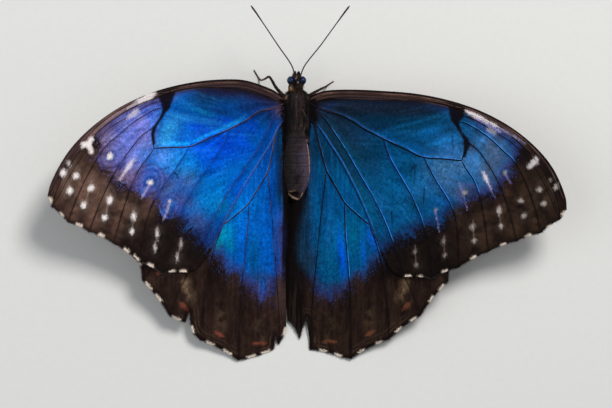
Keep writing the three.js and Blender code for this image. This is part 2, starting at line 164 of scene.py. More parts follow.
# --------------------------------------------------------------- mesh making
def make(name, verts, quads=None, tris=None, materials=(), which=None, uv=None, attrs=None, replaces=(), smoothed=True):
    """A mesh object from millimetre vertices; uv is one pair for each corner or each vertex."""
    quads = np.zeros((0, 4), int) if quads is None else np.asarray(quads)
    tris = np.zeros((0, 3), int) if tris is None else np.asarray(tris)
    me = bpy.data.meshes.new(name)
    me.vertices.add(len(verts))
    me.vertices.foreach_set("co", (np.asarray(verts, float) * MM).astype(np.float32).ravel())
    loops = np.concatenate([quads.ravel(), tris.ravel()]).astype(np.int32)
    me.loops.add(len(loops))
    me.loops.foreach_set("vertex_index", loops)
    starts = np.concatenate([np.arange(len(quads)) * 4, len(quads) * 4 + np.arange(len(tris)) * 3]).astype(np.int32)
    me.polygons.add(len(starts))
    me.polygons.foreach_set("loop_start", starts)
    if which is not None:
        me.polygons.foreach_set("material_index", np.asarray(which, np.int32))
    me.polygons.foreach_set("use_smooth", np.full(len(starts), bool(smoothed)))
    me.update(calc_edges=True)
    if uv is not None:
        uv = np.asarray(uv, float)
        if len(uv) == len(verts):
            uv = uv[loops]
        me.uv_layers.new(name="OFBake").data.foreach_set("uv", uv.astype(np.float32).ravel())
    for key, val in (attrs or {}).items():
        val = np.asarray(val, np.float32)
        if val.ndim == 2:
            a = me.attributes.new(key, "FLOAT_COLOR", "POINT")
            a.data.foreach_set("color", np.hstack([val, np.ones((len(val), 1), np.float32)]).ravel())
        else:
            a = me.attributes.new(key, "FLOAT", "POINT")
            a.data.foreach_set("value", val)
    me.validate()
    ob = bpy.data.objects.new(name, me)
    bpy.context.scene.collection.objects.link(ob)
    for m in materials:
        me.materials.append(m)
    finish_piece(ob, replaces)
    return ob


def finish_piece(ob, replaces=()):
    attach(ob, "root")
    if replaces:
        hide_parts(*replaces)


def tube(path, radii, sides=12, flat=1.0, up=(0, 0, 1)):
    """Vertices and faces of a closed tube; flat squeezes it along the frame's second axis."""
    path = np.asarray(path, float)
    k = len(path)
    tan = unit(np.gradient(path, axis=0))
    n = np.empty_like(path)
    n[0] = np.cross(tan[0], up)
    if np.linalg.norm(n[0]) < 1e-6:
        n[0] = np.cross(tan[0], (1, 0, 0))
    n[0] /= np.linalg.norm(n[0])
    for i in range(1, k):
        v = n[i - 1] - tan[i] * (n[i - 1] @ tan[i])
        n[i] = v / np.linalg.norm(v)
    b = np.cross(n, tan)
    a = np.arange(sides) * 2 * math.pi / sides
    r = np.asarray(radii, float)[:, None, None]
    V = path[:, None] + r * (np.cos(a)[None, :, None] * n[:, None] + flat * np.sin(a)[None, :, None] * b[:, None])
    V = np.concatenate([V.reshape(-1, 3), path[:1], path[-1:]])
    i, j = np.meshgrid(np.arange(k - 1), np.arange(sides), indexing="ij")
    j2 = (j + 1) % sides
    Q = np.stack([i * sides + j, i * sides + j2, (i + 1) * sides + j2, (i + 1) * sides + j], -1).reshape(-1, 4)
    s = np.arange(sides)
    T = np.concatenate([np.stack([(s + 1) % sides, s, np.full(sides, k * sides)], -1),
                        np.stack([(k - 1) * sides + s, (k - 1) * sides + (s + 1) % sides, np.full(sides, k * sides + 1)], -1)])
    return V, Q, T


def tube_uv(k, sides, Q, T, strip, strips):
    """Corner UVs for one tube in its own strip of the map."""
    lo, hi = strip / strips, (strip + 1) / strips
    pad = (hi - lo) * 0.06

    def of(idx, corner_of_quad):
        i, j = idx // sides, idx % sides
        return i / (k - 1), j
    out = []
    for F in (Q,):
        i, j = F // sides, F % sides
        jj = j.astype(float)
        wrap = (j.max(1) == sides - 1) & (j.min(1) == 0)
        jj[wrap] = np.where(j[wrap] == 0, sides, j[wrap])
        out.append(np.stack([0.01 + 0.98 * i / (k - 1), lo + pad + (hi - lo - 2 * pad) * jj / sides], -1).reshape(-1, 2))
    i = np.where(T >= k * sides, np.where(T == k * sides, 0, k - 1), T // sides)
    j = np.where(T >= k * sides, sides / 2, T % sides)
    out.append(np.stack([0.01 + 0.98 * i / (k - 1), lo + pad + (hi - lo - 2 * pad) * j / sides], -1).reshape(-1, 2))
    return np.concatenate(out)


class Shader:
    """A material and the few node shapes used here."""

    def __init__(self, name, **principled):
        self.mat = bpy.data.materials.new(name)
        self.mat.use_nodes = True
        self.t = self.mat.node_tree
        self.t.nodes.clear()
        self.out = self.t.nodes.new("ShaderNodeOutputMaterial")
        self.bsdf = self.t.nodes.new("ShaderNodeBsdfPrincipled")
        self.t.links.new(self.bsdf.outputs[0], self.out.inputs[0])
        for key, val in principled.items():
            self.bsdf.inputs[key.replace("_", " ")].default_value = val
        self.x = -1400

    def put(self, socket, value):
        if isinstance(value, bpy.types.NodeSocket):
            self.t.links.new(value, socket)
        elif isinstance(value, (tuple, list, np.ndarray)):
            v = list(value)
            socket.default_value = v + [1] if len(v) == 3 and len(socket.default_value) == 4 else v
        else:
            socket.default_value = value

    def node(self, kind, **props):
        n = self.t.nodes.new(kind)
        for k, v in props.items():
            setattr(n, k, v)
        return n

    def attr(self, name, colour=False):
        n = self.node("ShaderNodeAttribute", attribute_name=name)
        return n.outputs["Color" if colour else "Fac"]

    def coords(self, stretch=None):
        c = self.node("ShaderNodeTexCoord").outputs["Object"]
        if stretch is None:
            return c
        m = self.node("ShaderNodeMapping")
        self.put(m.inputs["Vector"], c)
        m.inputs["Scale"].default_value = stretch
        return m.outputs[0]

    def noise(self, size_mm, detail=2, rough=0.5, where=None, colour=False):
        n = self.node("ShaderNodeTexNoise")
        self.put(n.inputs["Vector"], where or self.coords())
        n.inputs["Scale"].default_value = 1000.0 / size_mm
        n.inputs["Detail"].default_value = detail
        n.inputs["Roughness"].default_value = rough
        return n.outputs["Color" if colour else "Fac"]

    def cells(self, size_mm, where=None, out="Color"):
        n = self.node("ShaderNodeTexVoronoi")
        self.put(n.inputs["Vector"], where or self.coords())
        n.inputs["Scale"].default_value = 1000.0 / size_mm
        return n.outputs[out]

    def math(self, op, a, b=None, c=None):
        n = self.node("ShaderNodeMath", operation=op)
        for i, v in enumerate((a, b, c)):
            if v is not None:
                self.put(n.inputs[i], v)
        return n.outputs[0]

    def ramp(self, x, a, b, lo=0.0, hi=1.0, kind="SMOOTHSTEP"):
        n = self.node("ShaderNodeMapRange", interpolation_type=kind)
        for i, v in enumerate((x, a, b, lo, hi)):
            self.put(n.inputs[i], v)
        return n.outputs[0]

    def mix(self, f, a, b, how="MIX"):
        n = self.node("ShaderNodeMix", data_type="RGBA", blend_type=how)
        self.put(n.inputs[0], f)
        self.put(n.inputs[6], a)
        self.put(n.inputs[7], b)
        return n.outputs[2]

    def bump(self, height, strength, distance_mm):
        n = self.node("ShaderNodeBump")
        self.put(n.inputs["Height"], height)
        n.inputs["Strength"].default_value = strength
        n.inputs["Distance"].default_value = distance_mm * MM
        self.t.links.new(n.outputs[0], self.bsdf.inputs["Normal"])

    def set(self, name, value):
        self.put(self.bsdf.inputs[name], value)


# -------------------------------------------------------------- wing shapes
ROOT_SLOPE, SLOPE_GAIN = 5 * RAD, 0.13 * RAD
CAMBER, CAMBER_MID, CAMBER_HALF = 0.7, -28, 34
FORE_ROOT, HIND_ROOT, SHEET_GAP, SET_BLEND, HIND_SAG = (3.4, 0.6), (3.2, -2.6), 0.75, 16, 0.27
FORE_SET = dict(sweep=-0.0271, span=0.0311, chord=-0.0164, shear=0.0618, out=2.4565, fore=-0.999)
HIND_SET = dict(sweep=-0.0307, span=-0.0125, chord=0.0011, shear=-0.019, out=0.2326, fore=0.282)
FORE_HINGE = [[-1.3, -0.2], [-1.3, -4.4]]
FORE_COSTA = [[-1.3, -0.2], [0.2, 0.45], [2.2, 1.5], [5, 2.2], [12.5, 2.95], [24, 2.2], [36, -0.95], [46, -6.35], [53.6, -13.6], [57.7, -21.4], [58.2, -24.2]]
FORE_TEETH = [[58.2, -24.2], [57.0, -26.6], [52.8, -30.1], [47.5, -32.2], [41.3, -34.9], [34.8, -39.0], [28.8, -41.8], [22.4, -41.6]]
FORE_INNER = [[-1.3, -4.4], [1.2, -7.0], [3.3, -10.6], [6.8, -16.2], [10.6, -22.9], [13.8, -29.4], [16.3, -34.8], [18.6, -39.0], [20.3, -40.75], [22.4, -41.6]]
HIND_HINGE = [[-1.1, 0.6], [-1.3, -5.4]]
HIND_COSTA = [[-1.1, 0.6], [2.2, 1.1], [9, 0.6], [18, -3.4], [26.5, -11.5], [32.4, -21.5], [34.8, -28.5]]
HIND_TEETH = [[34.8, -28.5], [34.9, -33.6], [33.4, -39.7], [26.9, -48.1], [19.5, -53.9], [10.4, -58.75]]
NICK_LEFT = [[25.2, -48.9], [24.0, -49.4], [23.05, -49.6, 23.2, -50.0], [22.1, -46.6, 22.5, -50.6], [21.7, -50.4, 21.85, -51.2], [21.1, -52.3]]
CORNER_LEFT = [[8.2, -58.3], [5.6, -57.6], [2.8, -56.65], [1.78, -55.9], [1.48, -53.0, 1.3, -55.35], [0.72, -54.96], [0.1, -54.0], [-0.6, -52.7]]
CORNER_RIGHT = [[8.2, -58.4], [5.6, -57.5], [2.8, -56.95], [0.4, -56.75], [0.64, -53.6, 0.1, -56.5], [0.54, -51.6, -0.15, -56.2], [0.22, -50.0, -0.37, -55.95], [-0.36, -49.0, -0.6, -55.65], [-0.9, -50.3, -0.9, -55.3], [-1.5, -52.1, -1.35, -54.85], [-2.03, -54.15], [-2.8, -52.3], [-4.0, -50.6]]
FOLD_LINE = [[0.1, -10], [-0.1, -20], [-0.5, -33], [-0.9, -46], [-1.1, -52]]
FOLD = {1: dict(width=6.0, rear=0.66, start=-38, stop=-50, end=-49.9, dip=[[-14, 46], [-20, 38], [-34, 27], [-47, 13], [-58, 4]]),
        -1: dict(width=1.7, rear=0.05, start=-26, stop=-36, end=-51.0, dip=[[-14, 62], [-20, 62], [-34, 60], [-47, 30], [-58, 8]])}


def fold_line(v):
    return table([[b, a] for a, b in FOLD_LINE], v)


def fold_edge(side, v):
    f = FOLD[side]
    w = f["width"] * smooth(14.5, 19.5, -v) * (1 + (f["rear"] - 1) * smooth(-f["start"], -f["stop"], -v))
    return fold_line(v) - w


def sheet(kind, side, u, v, lift=0.0):
    """Row-frame points of a wing's middle surface, in mm, from wing coordinates."""
    u, v = np.asarray(u, float), np.asarray(v, float)
    st, root = (FORE_SET, FORE_ROOT) if kind == "fore" else (HIND_SET, HIND_ROOT)
    drop = 0.0 if kind == "fore" else SHEET_GAP
    r = clamp(np.hypot(u, v) / SET_BLEND, 0, 1)
    w = r * r * (3 - 2 * r) * side
    inward, dip = np.zeros_like(u), np.zeros_like(u)
    if kind == "hind":
        line = fold_line(v)
        inward = np.maximum(line - u, 0)
        dip = table(FOLD[side]["dip"], v) * RAD
        u = np.maximum(u, line)
    u1 = u + w * (st["span"] * u + st["shear"] * v + st["out"])
    v1 = v + w * (st["chord"] * v + st["fore"])
    a = side * st["sweep"]
    c, s = math.cos(a), math.sin(a)
    u2, v2 = u1 * c - v1 * s, u1 * s + v1 * c
    slope = ROOT_SLOPE + SLOPE_GAIN * u2
    x = root[0] + (np.sin(slope) - math.sin(ROOT_SLOPE)) / SLOPE_GAIN
    z = (math.cos(ROOT_SLOPE) - np.cos(slope)) / SLOPE_GAIN - drop
    y = root[1] + v2
    z = z + CAMBER * (1 - ((y - CAMBER_MID) / CAMBER_HALF) ** 2)
    if kind == "hind" and side < 0:
        z = z - HIND_SAG * smooth(30, 56, -v)
    t = np.minimum(inward, 1.2)
    soft, hard = t - t * t / 2.4, t * t / 2.4 + np.maximum(0, inward - 1.2)
    x = x - soft - hard * np.cos(dip)
    z = z - hard * np.sin(dip) - soft * math.tan(ROOT_SLOPE)
    return place(np.stack([side * x, y, z], -1))


def sheet_frame(kind, side, u, v):
    """The middle surface with its upward normal and the directions of u and v."""
    e = 0.02
    P = sheet(kind, side, u, v)
    du = sheet(kind, side, u + e, v) - sheet(kind, side, u - e, v)
    dv = sheet(kind, side, u, v + e) - sheet(kind, side, u, v - e)
    n = unit(np.cross(du, dv))
    n = np.where(n[..., 2:3] < 0, -n, n)
    return P, n, unit(du), unit(dv)


def scallops(teeth, depth, worn=None, per=12):
    out = []
    for i in range(len(teeth) - 1):
        (ax, ay), (bx, by) = teeth[i], teeth[i + 1]
        ln = math.hypot(bx - ax, by - ay)
        nx, ny = (by - ay) / ln, -(bx - ax) / ln
        out.append((ax, ay, ax, ay))
        if worn and i == worn[0]:
            out += [(q[0], q[1], q[-2], q[-1]) for q in worn[1]]
            continue
        for k in range(1, per):
            t = k / per
            h = depth * min(1, ln / 5) * math.sin(math.pi * t) ** 0.8
            p = (ax + (bx - ax) * t + nx * h, ay + (by - ay) * t + ny * h)
            out.append(p + p)
    a, b = teeth[-1]
    out.append((a, b, a, b))
    return out


def margin_of(kind, side):
    """Rows of [u, v, u with no slit, v with no slit] from the leading end to the inner end."""
    if kind == "fore":
        return np.array(scallops(FORE_TEETH, 0.32))
    rows = scallops(HIND_TEETH, 0.42, (3, NICK_LEFT) if side < 0 else None)
    corner = CORNER_LEFT if side < 0 else CORNER_RIGHT
    rows += [(q[0], q[1], q[-2], q[-1]) for q in corner]
    v = FOLD[side]["end"]
    u = float(fold_edge(side, v))
    return np.array(rows + [(u, v, u, v)])


def wing_lines(kind, side, n, m):
    """Hinge, margin at n + 1 even steps, leading and inner edges at the m + 1 steps of t."""
    M = margin_of(kind, side)
    far = np.concatenate([[0], np.cumsum(np.hypot(*np.diff(M[:, 2:], axis=0).T))])
    e = np.linspace(0, far[-1], n + 1)
    M = np.stack([np.interp(e, far, M[:, k]) for k in range(4)], -1)
    t = (np.arange(m + 1) / m) ** 0.85
    fine = np.linspace(0, 1, 401)
    if kind == "fore":
        hinge, lead, inner = FORE_HINGE, spline(FORE_COSTA, 400), spline(FORE_INNER, 400)
    else:
        hinge, lead = HIND_HINGE, spline(HIND_COSTA, 400)
        v = HIND_HINGE[1][1] + (FOLD[side]["end"] - HIND_HINGE[1][1]) * fine
        edge = fold_edge(side, v)
        k = smooth(-HIND_HINGE[1][1], 5 - HIND_HINGE[1][1], -v)
        inner = np.stack([HIND_HINGE[1][0] + (edge - HIND_HINGE[1][0]) * k, v], -1)
    lead = np.stack([np.interp(t, fine, lead[:, k]) for k in (0, 1)], -1)
    inner = np.stack([np.interp(t, fine, inner[:, k]) for k in (0, 1)], -1)
    return np.array(hinge, float), M, lead, inner, t


def wing_grid(kind, side, n, m):
    hinge, M, lead, inner, t = wing_lines(kind, side, n, m)
    s = np.linspace(0, 1, n + 1)[None, :, None]
    t = t[:, None, None]
    plain, true = M[None, :, 2:], M[None, :, :2]
    near = clamp((t - 0.4) / 0.6, 0, 1)
    A = (1 - t) * (hinge[0] + (hinge[1] - hinge[0]) * s) + t * plain + near * (true - plain) \
        + (1 - s) * lead[:, None] + s * inner[:, None] \
        - (1 - s) * ((1 - t) * hinge[0] + t * M[0, :2]) - s * ((1 - t) * hinge[1] + t * M[-1, :2])
    return A[..., 0], A[..., 1]


# -------------------------------------------------------------- wing veins
FORE_VEINS = {
    "C": [[-1, -0.9], [0.3, -0.25], [2.2, 0.75], [5, 1.45], [12.5, 2.2], [24, 1.5], [36, -1.6], [46, -7.0], [53.2, -14.2], [57.2, -21.6]],
    "R": [[-1, -1.4], [0.6, -1.1], [3, -0.35], [9.6, 0.6], [18, 0.95], [24.5, 0.75], [29, -0.1], [33, -1.5], [37.3, -3.1], [42, -5.6], [46.5, -9.0], [50.5, -13.1], [54, -18.4], [56.3, -23.4], [57, -26.6]],
    "R2": [[30.2, -0.6], [34, -0.9], [38.5, -2.5], [43.5, -5.4], [48.3, -9.3], [52.8, -14.8], [56.5, -21], [58.1, -24.3]],
    "R5": [[31.2, -2.0], [35.5, -3.4], [40, -6.0], [44.3, -8.6], [48.0, -12.0], [51.4, -16.4], [53.6, -20.2], [55.6, -24.4], [56.9, -26.6]],
    "disc": [[30.4, 0.4], [30.6, -1.4], [31.4, -4.6], [32.6, -6.9], [33.6, -8.7], [33.85, -10.2], [33.2, -13.2]],
    "Cu": [[-1, -1.5], [0, -1.6], [2, -2.6], [6.5, -3.8], [11, -6.5], [15.4, -8.7], [20.8, -11.1], [24.2, -12.6], [29.3, -12.9], [33.2, -13.2]],
    "M1": [[31.9, -3.9], [33.6, -4.3], [36.7, -6.0], [39.6, -8.0], [41.8, -10], [44.8, -12.6], [46.9, -15.6], [49.4, -20.5], [51.6, -26.0], [52.8, -30.1]],
    "M2": [[33.5, -8.2], [36.9, -10.8], [38.9, -13.4], [41.2, -16.8], [43.6, -21.4], [45.8, -27.0], [47.5, -32.2]],
    "M3": [[33.2, -13.2], [34.3, -15], [36.1, -17.4], [37.7, -20.7], [38.8, -24.3], [40.0, -29.0], [41.3, -34.9]],
    "CuA1": [[24.4, -12.6], [27.7, -18.1], [31.0, -22.9], [32.9, -27.0], [34.0, -32.0], [34.8, -39.0]],
    "CuA2": [[14.9, -8.6], [16.4, -12.4], [18.6, -16.0], [22.4, -21.9], [25.4, -28.0], [27.4, -34.0], [28.8, -41.6]],
    "2A": [[0.2, -2.6], [1.9, -3.8], [3.9, -6.8], [6.6, -11.5], [9.6, -16.3], [13, -21.5], [15.9, -26.4], [18.9, -32.6], [20.6, -36.8], [22.4, -41.0]],
}
HIND_VEINS = {
    "Sc": [[0, 0], [5, -0.4], [11, -1.4], [18.5, -5.3], [26, -13.0], [31.4, -22.0], [34.4, -29]],
    "Rs": [[2, -3.0], [8, -7.0], [15.5, -13.2], [23.5, -20.5], [30, -27.6], [34.9, -33.6]],
    "M1": [[8, -12.4], [14.5, -17.5], [21.5, -25.5], [28, -33.2], [33.4, -39.7]],
    "M2": [[13.6, -22.6], [17.5, -28.2], [21.6, -36.0], [24.9, -43.0], [26.9, -48.1]],
    "Cu": [[-0.6, 0.2], [0.6, -2.0], [2, -6.9], [3.85, -14.15], [6.2, -18.2], [8.2, -21.5], [11, -24.1], [14.3, -26.7]],
    "disc": [[8, -12.4], [11.4, -17.6], [13.6, -22.6], [14.3, -26.7]],
    "M3": [[14.3, -26.7], [16.6, -33.0], [18.1, -41.0], [19.1, -48.0], [19.5, -53.9]],
    "CuA1": [[8.2, -21.5], [8.5, -28], [8.75, -31], [9.4, -37.5], [10.0, -47.0], [10.4, -58.7]],
    "CuA2": [[3.85, -14.15], [3.2, -20], [2.6, -25.6], [1.9, -33.4], [1.1, -42.6], [0.6, -50.0], [0.4, -56.3]],
}
VEIN_SIZE = {"C": (0.2, 0.1), "R": (0.17, 0.08), "R2": (0.1, 0.06), "R5": (0.1, 0.07), "Cu": (0.22, 0.13), "disc": (0.13, 0.1), "2A": (0.12, 0.07), "Sc": (0.14, 0.08)}


def to_line(px, py, line):
    """Distance to a polyline, with a sign for the side (plus to its left) and the share of its length."""
    line = np.asarray(line, float)
    seg = np.linalg.norm(np.diff(line, axis=0), axis=1)
    along = np.concatenate([[0], np.cumsum(seg)])
    best = np.full(px.shape, 1e9)
    sign = np.ones(px.shape)
    frac = np.zeros(px.shape)
    for (ax, ay), (bx, by), ln, s0 in zip(line[:-1], line[1:], seg, along[:-1]):
        dx, dy = bx - ax, by - ay
        qx, qy = px - ax, py - ay
        t = np.clip((qx * dx + qy * dy) / max(ln * ln, 1e-12), 0, 1)
        d = np.hypot(qx - t * dx, qy - t * dy)
        near = d < best
        best = np.where(near, d, best)
        sign = np.where(near, np.where(dx * qy - dy * qx >= 0, 1.0, -1.0), sign)
        frac = np.where(near, (s0 + t * ln) / along[-1], frac)
    return best, sign, frac


def inside(px, py, ring):
    """Signed distance to a closed outline, plus inside."""
    ring = np.asarray(ring, float)
    d, _, _ = to_line(px, py, np.vstack([ring, ring[:1]]))
    odd = np.zeros(px.shape, bool)
    for (ax, ay), (bx, by) in zip(ring, np.roll(ring, -1, axis=0)):
        if ay == by:
            continue
        hit = ((ay > py) != (by > py)) & (px < (bx - ax) * (py - ay) / (by - ay) + ax)
        odd ^= hit
    return np.where(odd, d, -d)


def oval(px, py, at, a, b, lean=0.0):
    """Signed distance to an ellipse, roughly, plus inside; lean turns its long axis b away from straight back."""
    c, s = math.cos(lean), math.sin(lean)
    x, y = px - at[0], py - at[1]
    x, y = x * c + y * s, -x * s + y * c
    return (1 - np.sqrt((x / a) ** 2 + (y / b) ** 2)) * min(a, b)


def stroke(px, py, points, r0, r1, belly=0.0):
    """Signed distance to a tapering stroke, plus inside; belly swells it before its middle."""
    d, _, f = to_line(px, py, points)
    return r0 + (r1 - r0) * f + belly * np.exp(-((f - 0.35) / 0.25) ** 2) - d


def wing_fields(kind, side, u, v):
    veins = FORE_VEINS if kind == "fore" else HIND_VEINS
    D, S, names = [], [], list(veins)
    for nm in names:
        d, s, _ = to_line(u, v, spline(veins[nm], 22))
        D.append(d)
        S.append(s)
    D, S = np.array(D), np.array(S)
    order = np.argsort(D, axis=0)
    d1 = np.take_along_axis(D, order[:1], 0)[0]
    d2 = np.take_along_axis(D, order[1:2], 0)[0]
    M = margin_of(kind, side)
    dm, _, fm = to_line(u, v, M[:, :2])
    lead = spline(FORE_COSTA if kind == "fore" else HIND_COSTA, 60)
    dc, _, fc = to_line(u, v, lead)
    return dict(D={nm: D[i] * S[i] for i, nm in enumerate(names)}, d1=d1, d2=d2, cell=d1 / np.maximum(d1 + d2, 1e-6) * 2,
                rim=dm, rim_at=fm, costa=dc, costa_at=fc, u=u, v=v)


# ----------------------------------------------------------- wing markings, with painted light and shade
def blob(f, u0, v0, ru, rv, lean=0.0):
    c, s = math.cos(lean), math.sin(lean)
    x, y = f["u"] - u0, f["v"] - v0
    return np.exp(-((x * c + y * s) / ru) ** 2 - ((-x * s + y * c) / rv) ** 2)


BLUE_FORE = {
    -1: [[-2, -1.6], [0.6, -1.1], [9.6, 0.2], [18.1, 0.6], [25.1, 0.8], [28.9, -0.3], [32.8, -1.3], [37.5, -2.9], [42.2, -5.5], [45.6, -8.4],
         [47.2, -10.6], [46.6, -13.7], [45.2, -17.1], [41.6, -20.0], [37.4, -22.0], [32.8, -23.9], [29.8, -26.0], [26.4, -28.4], [23.2, -30.8], [19.9, -33.5], [18.3, -35.4], [14, -33], [7, -22], [-3, -8]],
    1: [[-2, -2.6], [1.1, -2.0], [5.3, 0.0], [10.8, 1.2], [17, 1.4], [23.9, 0.9], [29.1, -0.4], [33.5, -1.7], [37, -3.4], [41, -5.6], [44.2, -7.0],
        [46.2, -8.9], [45.5, -12.7], [43.8, -17.1], [40.5, -20.1], [37.4, -21.4], [34.6, -23.2], [31.2, -25.6], [28.8, -28.4], [24.0, -30.1], [20.7, -32.3], [17.6, -34], [15.6, -35.2], [10, -29], [5, -20], [-3, -8]],
}
BLUE_HIND = {
    -1: [[-1, 3], [12, 2], [22, -4], [26, -14], [26, -24], [21, -30.2], [17.4, -32.0], [15.6, -34.0], [14.0, -36.0], [12.2, -37.4], [10.2, -38.4], [8.5, -40.0], [6.6, -42.0], [4.8, -44.0],
         [3.5, -43.6], [2.6, -41.4], [1.9, -39.4], [0.8, -38.8], [0.1, -37.6], [-0.1, -28], [0.1, -12]],
    1: [[-1, 3], [12, 2], [22, -4], [26, -14], [26, -24], [21, -30.8], [17.2, -33.4], [15.9, -35.6], [14.2, -37.5], [12.3, -38.6], [10.1, -39.4], [9.1, -41.2], [7.4, -43.0], [5.2, -43.8], [3.0, -44.0],
        [1.2, -42.0], [0.2, -39.4], [-1.4, -37.6], [-2.6, -35.8], [-2.9, -33.0], [-2.8, -29.6], [-2.3, -27.0], [-1.7, -24.4], [-1.1, -21.8], [-0.7, -19], [-0.6, -16], [-1.0, -12]],
}
FORE_SPOTS = {   # u, v, half width, half length, lean, strength
    -1: [[51.7, -19.7, 0.95, 0.85, 0.3, 0.95], [47.8, -22.4, 0.95, 0.9, 0.3, 0.9], [43.0, -25.1, 0.8, 1.1, 0.15, 0.95], [36.8, -28.8, 0.6, 1.15, 0.1, 0.95], [30.7, -32.8, 0.5, 1.15, 0.1, 0.9], [24.6, -35.2, 0.42, 0.9, 0.1, 0.55],
         [54.9, -19.0, 0.85, 1.1, 0.25, 1.0], [52.9, -23.0, 0.85, 1.05, 0.15, 1.0], [49.2, -26.2, 0.75, 0.85, 0.1, 1.0], [43.9, -29.1, 0.75, 0.85, 0.1, 1.0], [37.0, -32.2, 0.62, 0.8, 0.1, 1.0], [31.0, -36.0, 0.42, 0.8, 0.1, 0.95], [25.3, -38.3, 0.36, 0.8, 0.1, 0.8],
         [53.7, -16.9, 0.45, 0.8, 0.5, 0.6], [43.8, -15.2, 0.75, 1.0, -0.35, 1.0], [33.5, -21.0, 0.8, 0.85, 0.0, 0.95], [28.3, -25.3, 0.5, 0.6, 0.0, 0.8]],
    1: [[51.6, -19.7, 0.95, 0.75, 0.3, 0.75], [47.5, -22.5, 0.85, 0.8, 0.2, 0.7], [42.8, -25.1, 0.8, 0.95, 0.1, 0.85], [37.1, -29.1, 0.7, 1.0, 0.1, 0.55], [30.8, -32.9, 0.55, 1.0, 0.1, 0.42], [24.4, -35.5, 0.5, 0.8, 0.1, 0.32],
        [55.2, -18.9, 0.6, 1.05, 0.25, 0.95], [53.9, -17.3, 0.4, 0.5, 0.2, 0.5], [52.8, -23.0, 0.8, 0.8, 0.1, 0.85], [48.6, -26.1, 0.62, 0.8, 0.1, 0.85], [43.6, -28.8, 0.58, 0.75, 0.1, 0.95], [37.8, -32.4, 0.6, 0.68, 0.1, 0.75], [31.4, -36.1, 0.45, 0.55, 0.1, 0.5], [25.1, -38.7, 0.5, 0.62, 0.1, 0.42],
        [43.4, -15.8, 0.5, 0.75, 0.1, 0.75], [34.5, -20.9, 0.85, 0.85, 0.0, 0.62], [28.3, -25.2, 0.42, 0.5, 0.0, 0.6]],
}
FORE_STROKES = {  # points, first and last half width, strength, violet share, belly
    -1: [[[[50.5, -12.6], [49.3, -12.4]], 0.62, 0.5, 1.0, 0, 0], [[[48.7, -11.3], [49.3, -12.4]], 0.5, 0.6, 1.0, 0, 0], [[[49.2, -12.6], [48.4, -14.2]], 0.6, 0.4, 1.0, 0, 0],
         [[[34.4, -0.9], [36.0, -1.7], [37.8, -2.6]], 0.45, 0.6, 0.86, 0.05, 0.3], [[[38.3, -2.8], [40.4, -4.2]], 0.4, 0.2, 0.45, 0.2, 0.1], [[[38.0, -4.7], [39.2, -5.6], [40.2, -6.4]], 0.4, 0.3, 0.66, 0.3, 0.3],
         [[[38.0, -15.8], [39.2, -17.7], [41.0, -20.3]], 0.2, 0.12, 0.88, 0.25, 0.32], [[[33.7, -21.6], [35.3, -24.6]], 0.36, 0.06, 0.6, 0.6, 0], [[[28.4, -25.6], [28.7, -27.2], [29.4, -29.3]], 0.3, 0.06, 0.65, 0.6, 0]],
    1: [[[[50.1, -12.3], [49.8, -12.9]], 0.5, 0.66, 0.62, 0.05, 0.1], [[[49.9, -12.9], [48.9, -14.2]], 0.62, 0.5, 0.62, 0.05, 0.1],
        [[[33.3, -1.3], [36.6, -2.9], [40.4, -4.8]], 0.2, 0.26, 0.9, 0.12, 0.24], [[[35.6, -3.0], [38.6, -4.5], [41.4, -6.0]], 0.16, 0.2, 0.7, 0.8, 0], [[[40.2, -4.7], [44.2, -6.8], [47.4, -8.6]], 0.24, 0.08, 0.42, 0.6, 0], [[[38.6, -5.5], [40.2, -6.3]], 0.34, 0.4, 0.3, 0, 0.1],
        [[[43.6, -16.4], [45.0, -18.4]], 0.08, -0.1, 0.6, 0.9, 0], [[[38.3, -15.7], [39.3, -17.6], [40.5, -19.9]], 0.1, 0.02, 0.9, 0.25, 0.28], [[[39.9, -19.0], [41.8, -22.1]], 0.0, -0.16, 0.6, 0.9, 0.02], [[[33.2, -18.6], [34.3, -21.6], [35.6, -25.0]], 0.0, -0.12, 0.8, 0.95, 0.04],
        [[[28.2, -25.1], [28.8, -27.6], [29.6, -30.4]], 0.02, -0.13, 0.68, 0.8, 0.02], [[[42.8, -24.0], [42.9, -26.4]], 0.04, -0.04, 0.5, 0.1, 0]],
}
FORE_DASHES = [[57.9, -25.3], [54.9, -28.75], [50.2, -31.05], [44.6, -33.4], [38.1, -36.7], [31.9, -40.25], [26.2, -41.9], [23.5, -41.65]]
HIND_DASHES = [[34.75, -35.6], [32.0, -41.2], [29.5, -43.9], [25.3, -49.0], [21.8, -51.6], [17.2, -55.1], [13.0, -57.1], [7.2, -58.1], [3.6, -57.0]]


def dashes(f, places, long, deep):
    """Cream dashes along the rim, one over each place."""
    out = np.full(f["u"].shape, -9.0)
    for a, b in places:
        x = np.hypot(f["u"] - a, f["v"] - b)
        out = np.maximum(out, np.minimum(deep - f["rim"], long - x))
    return out


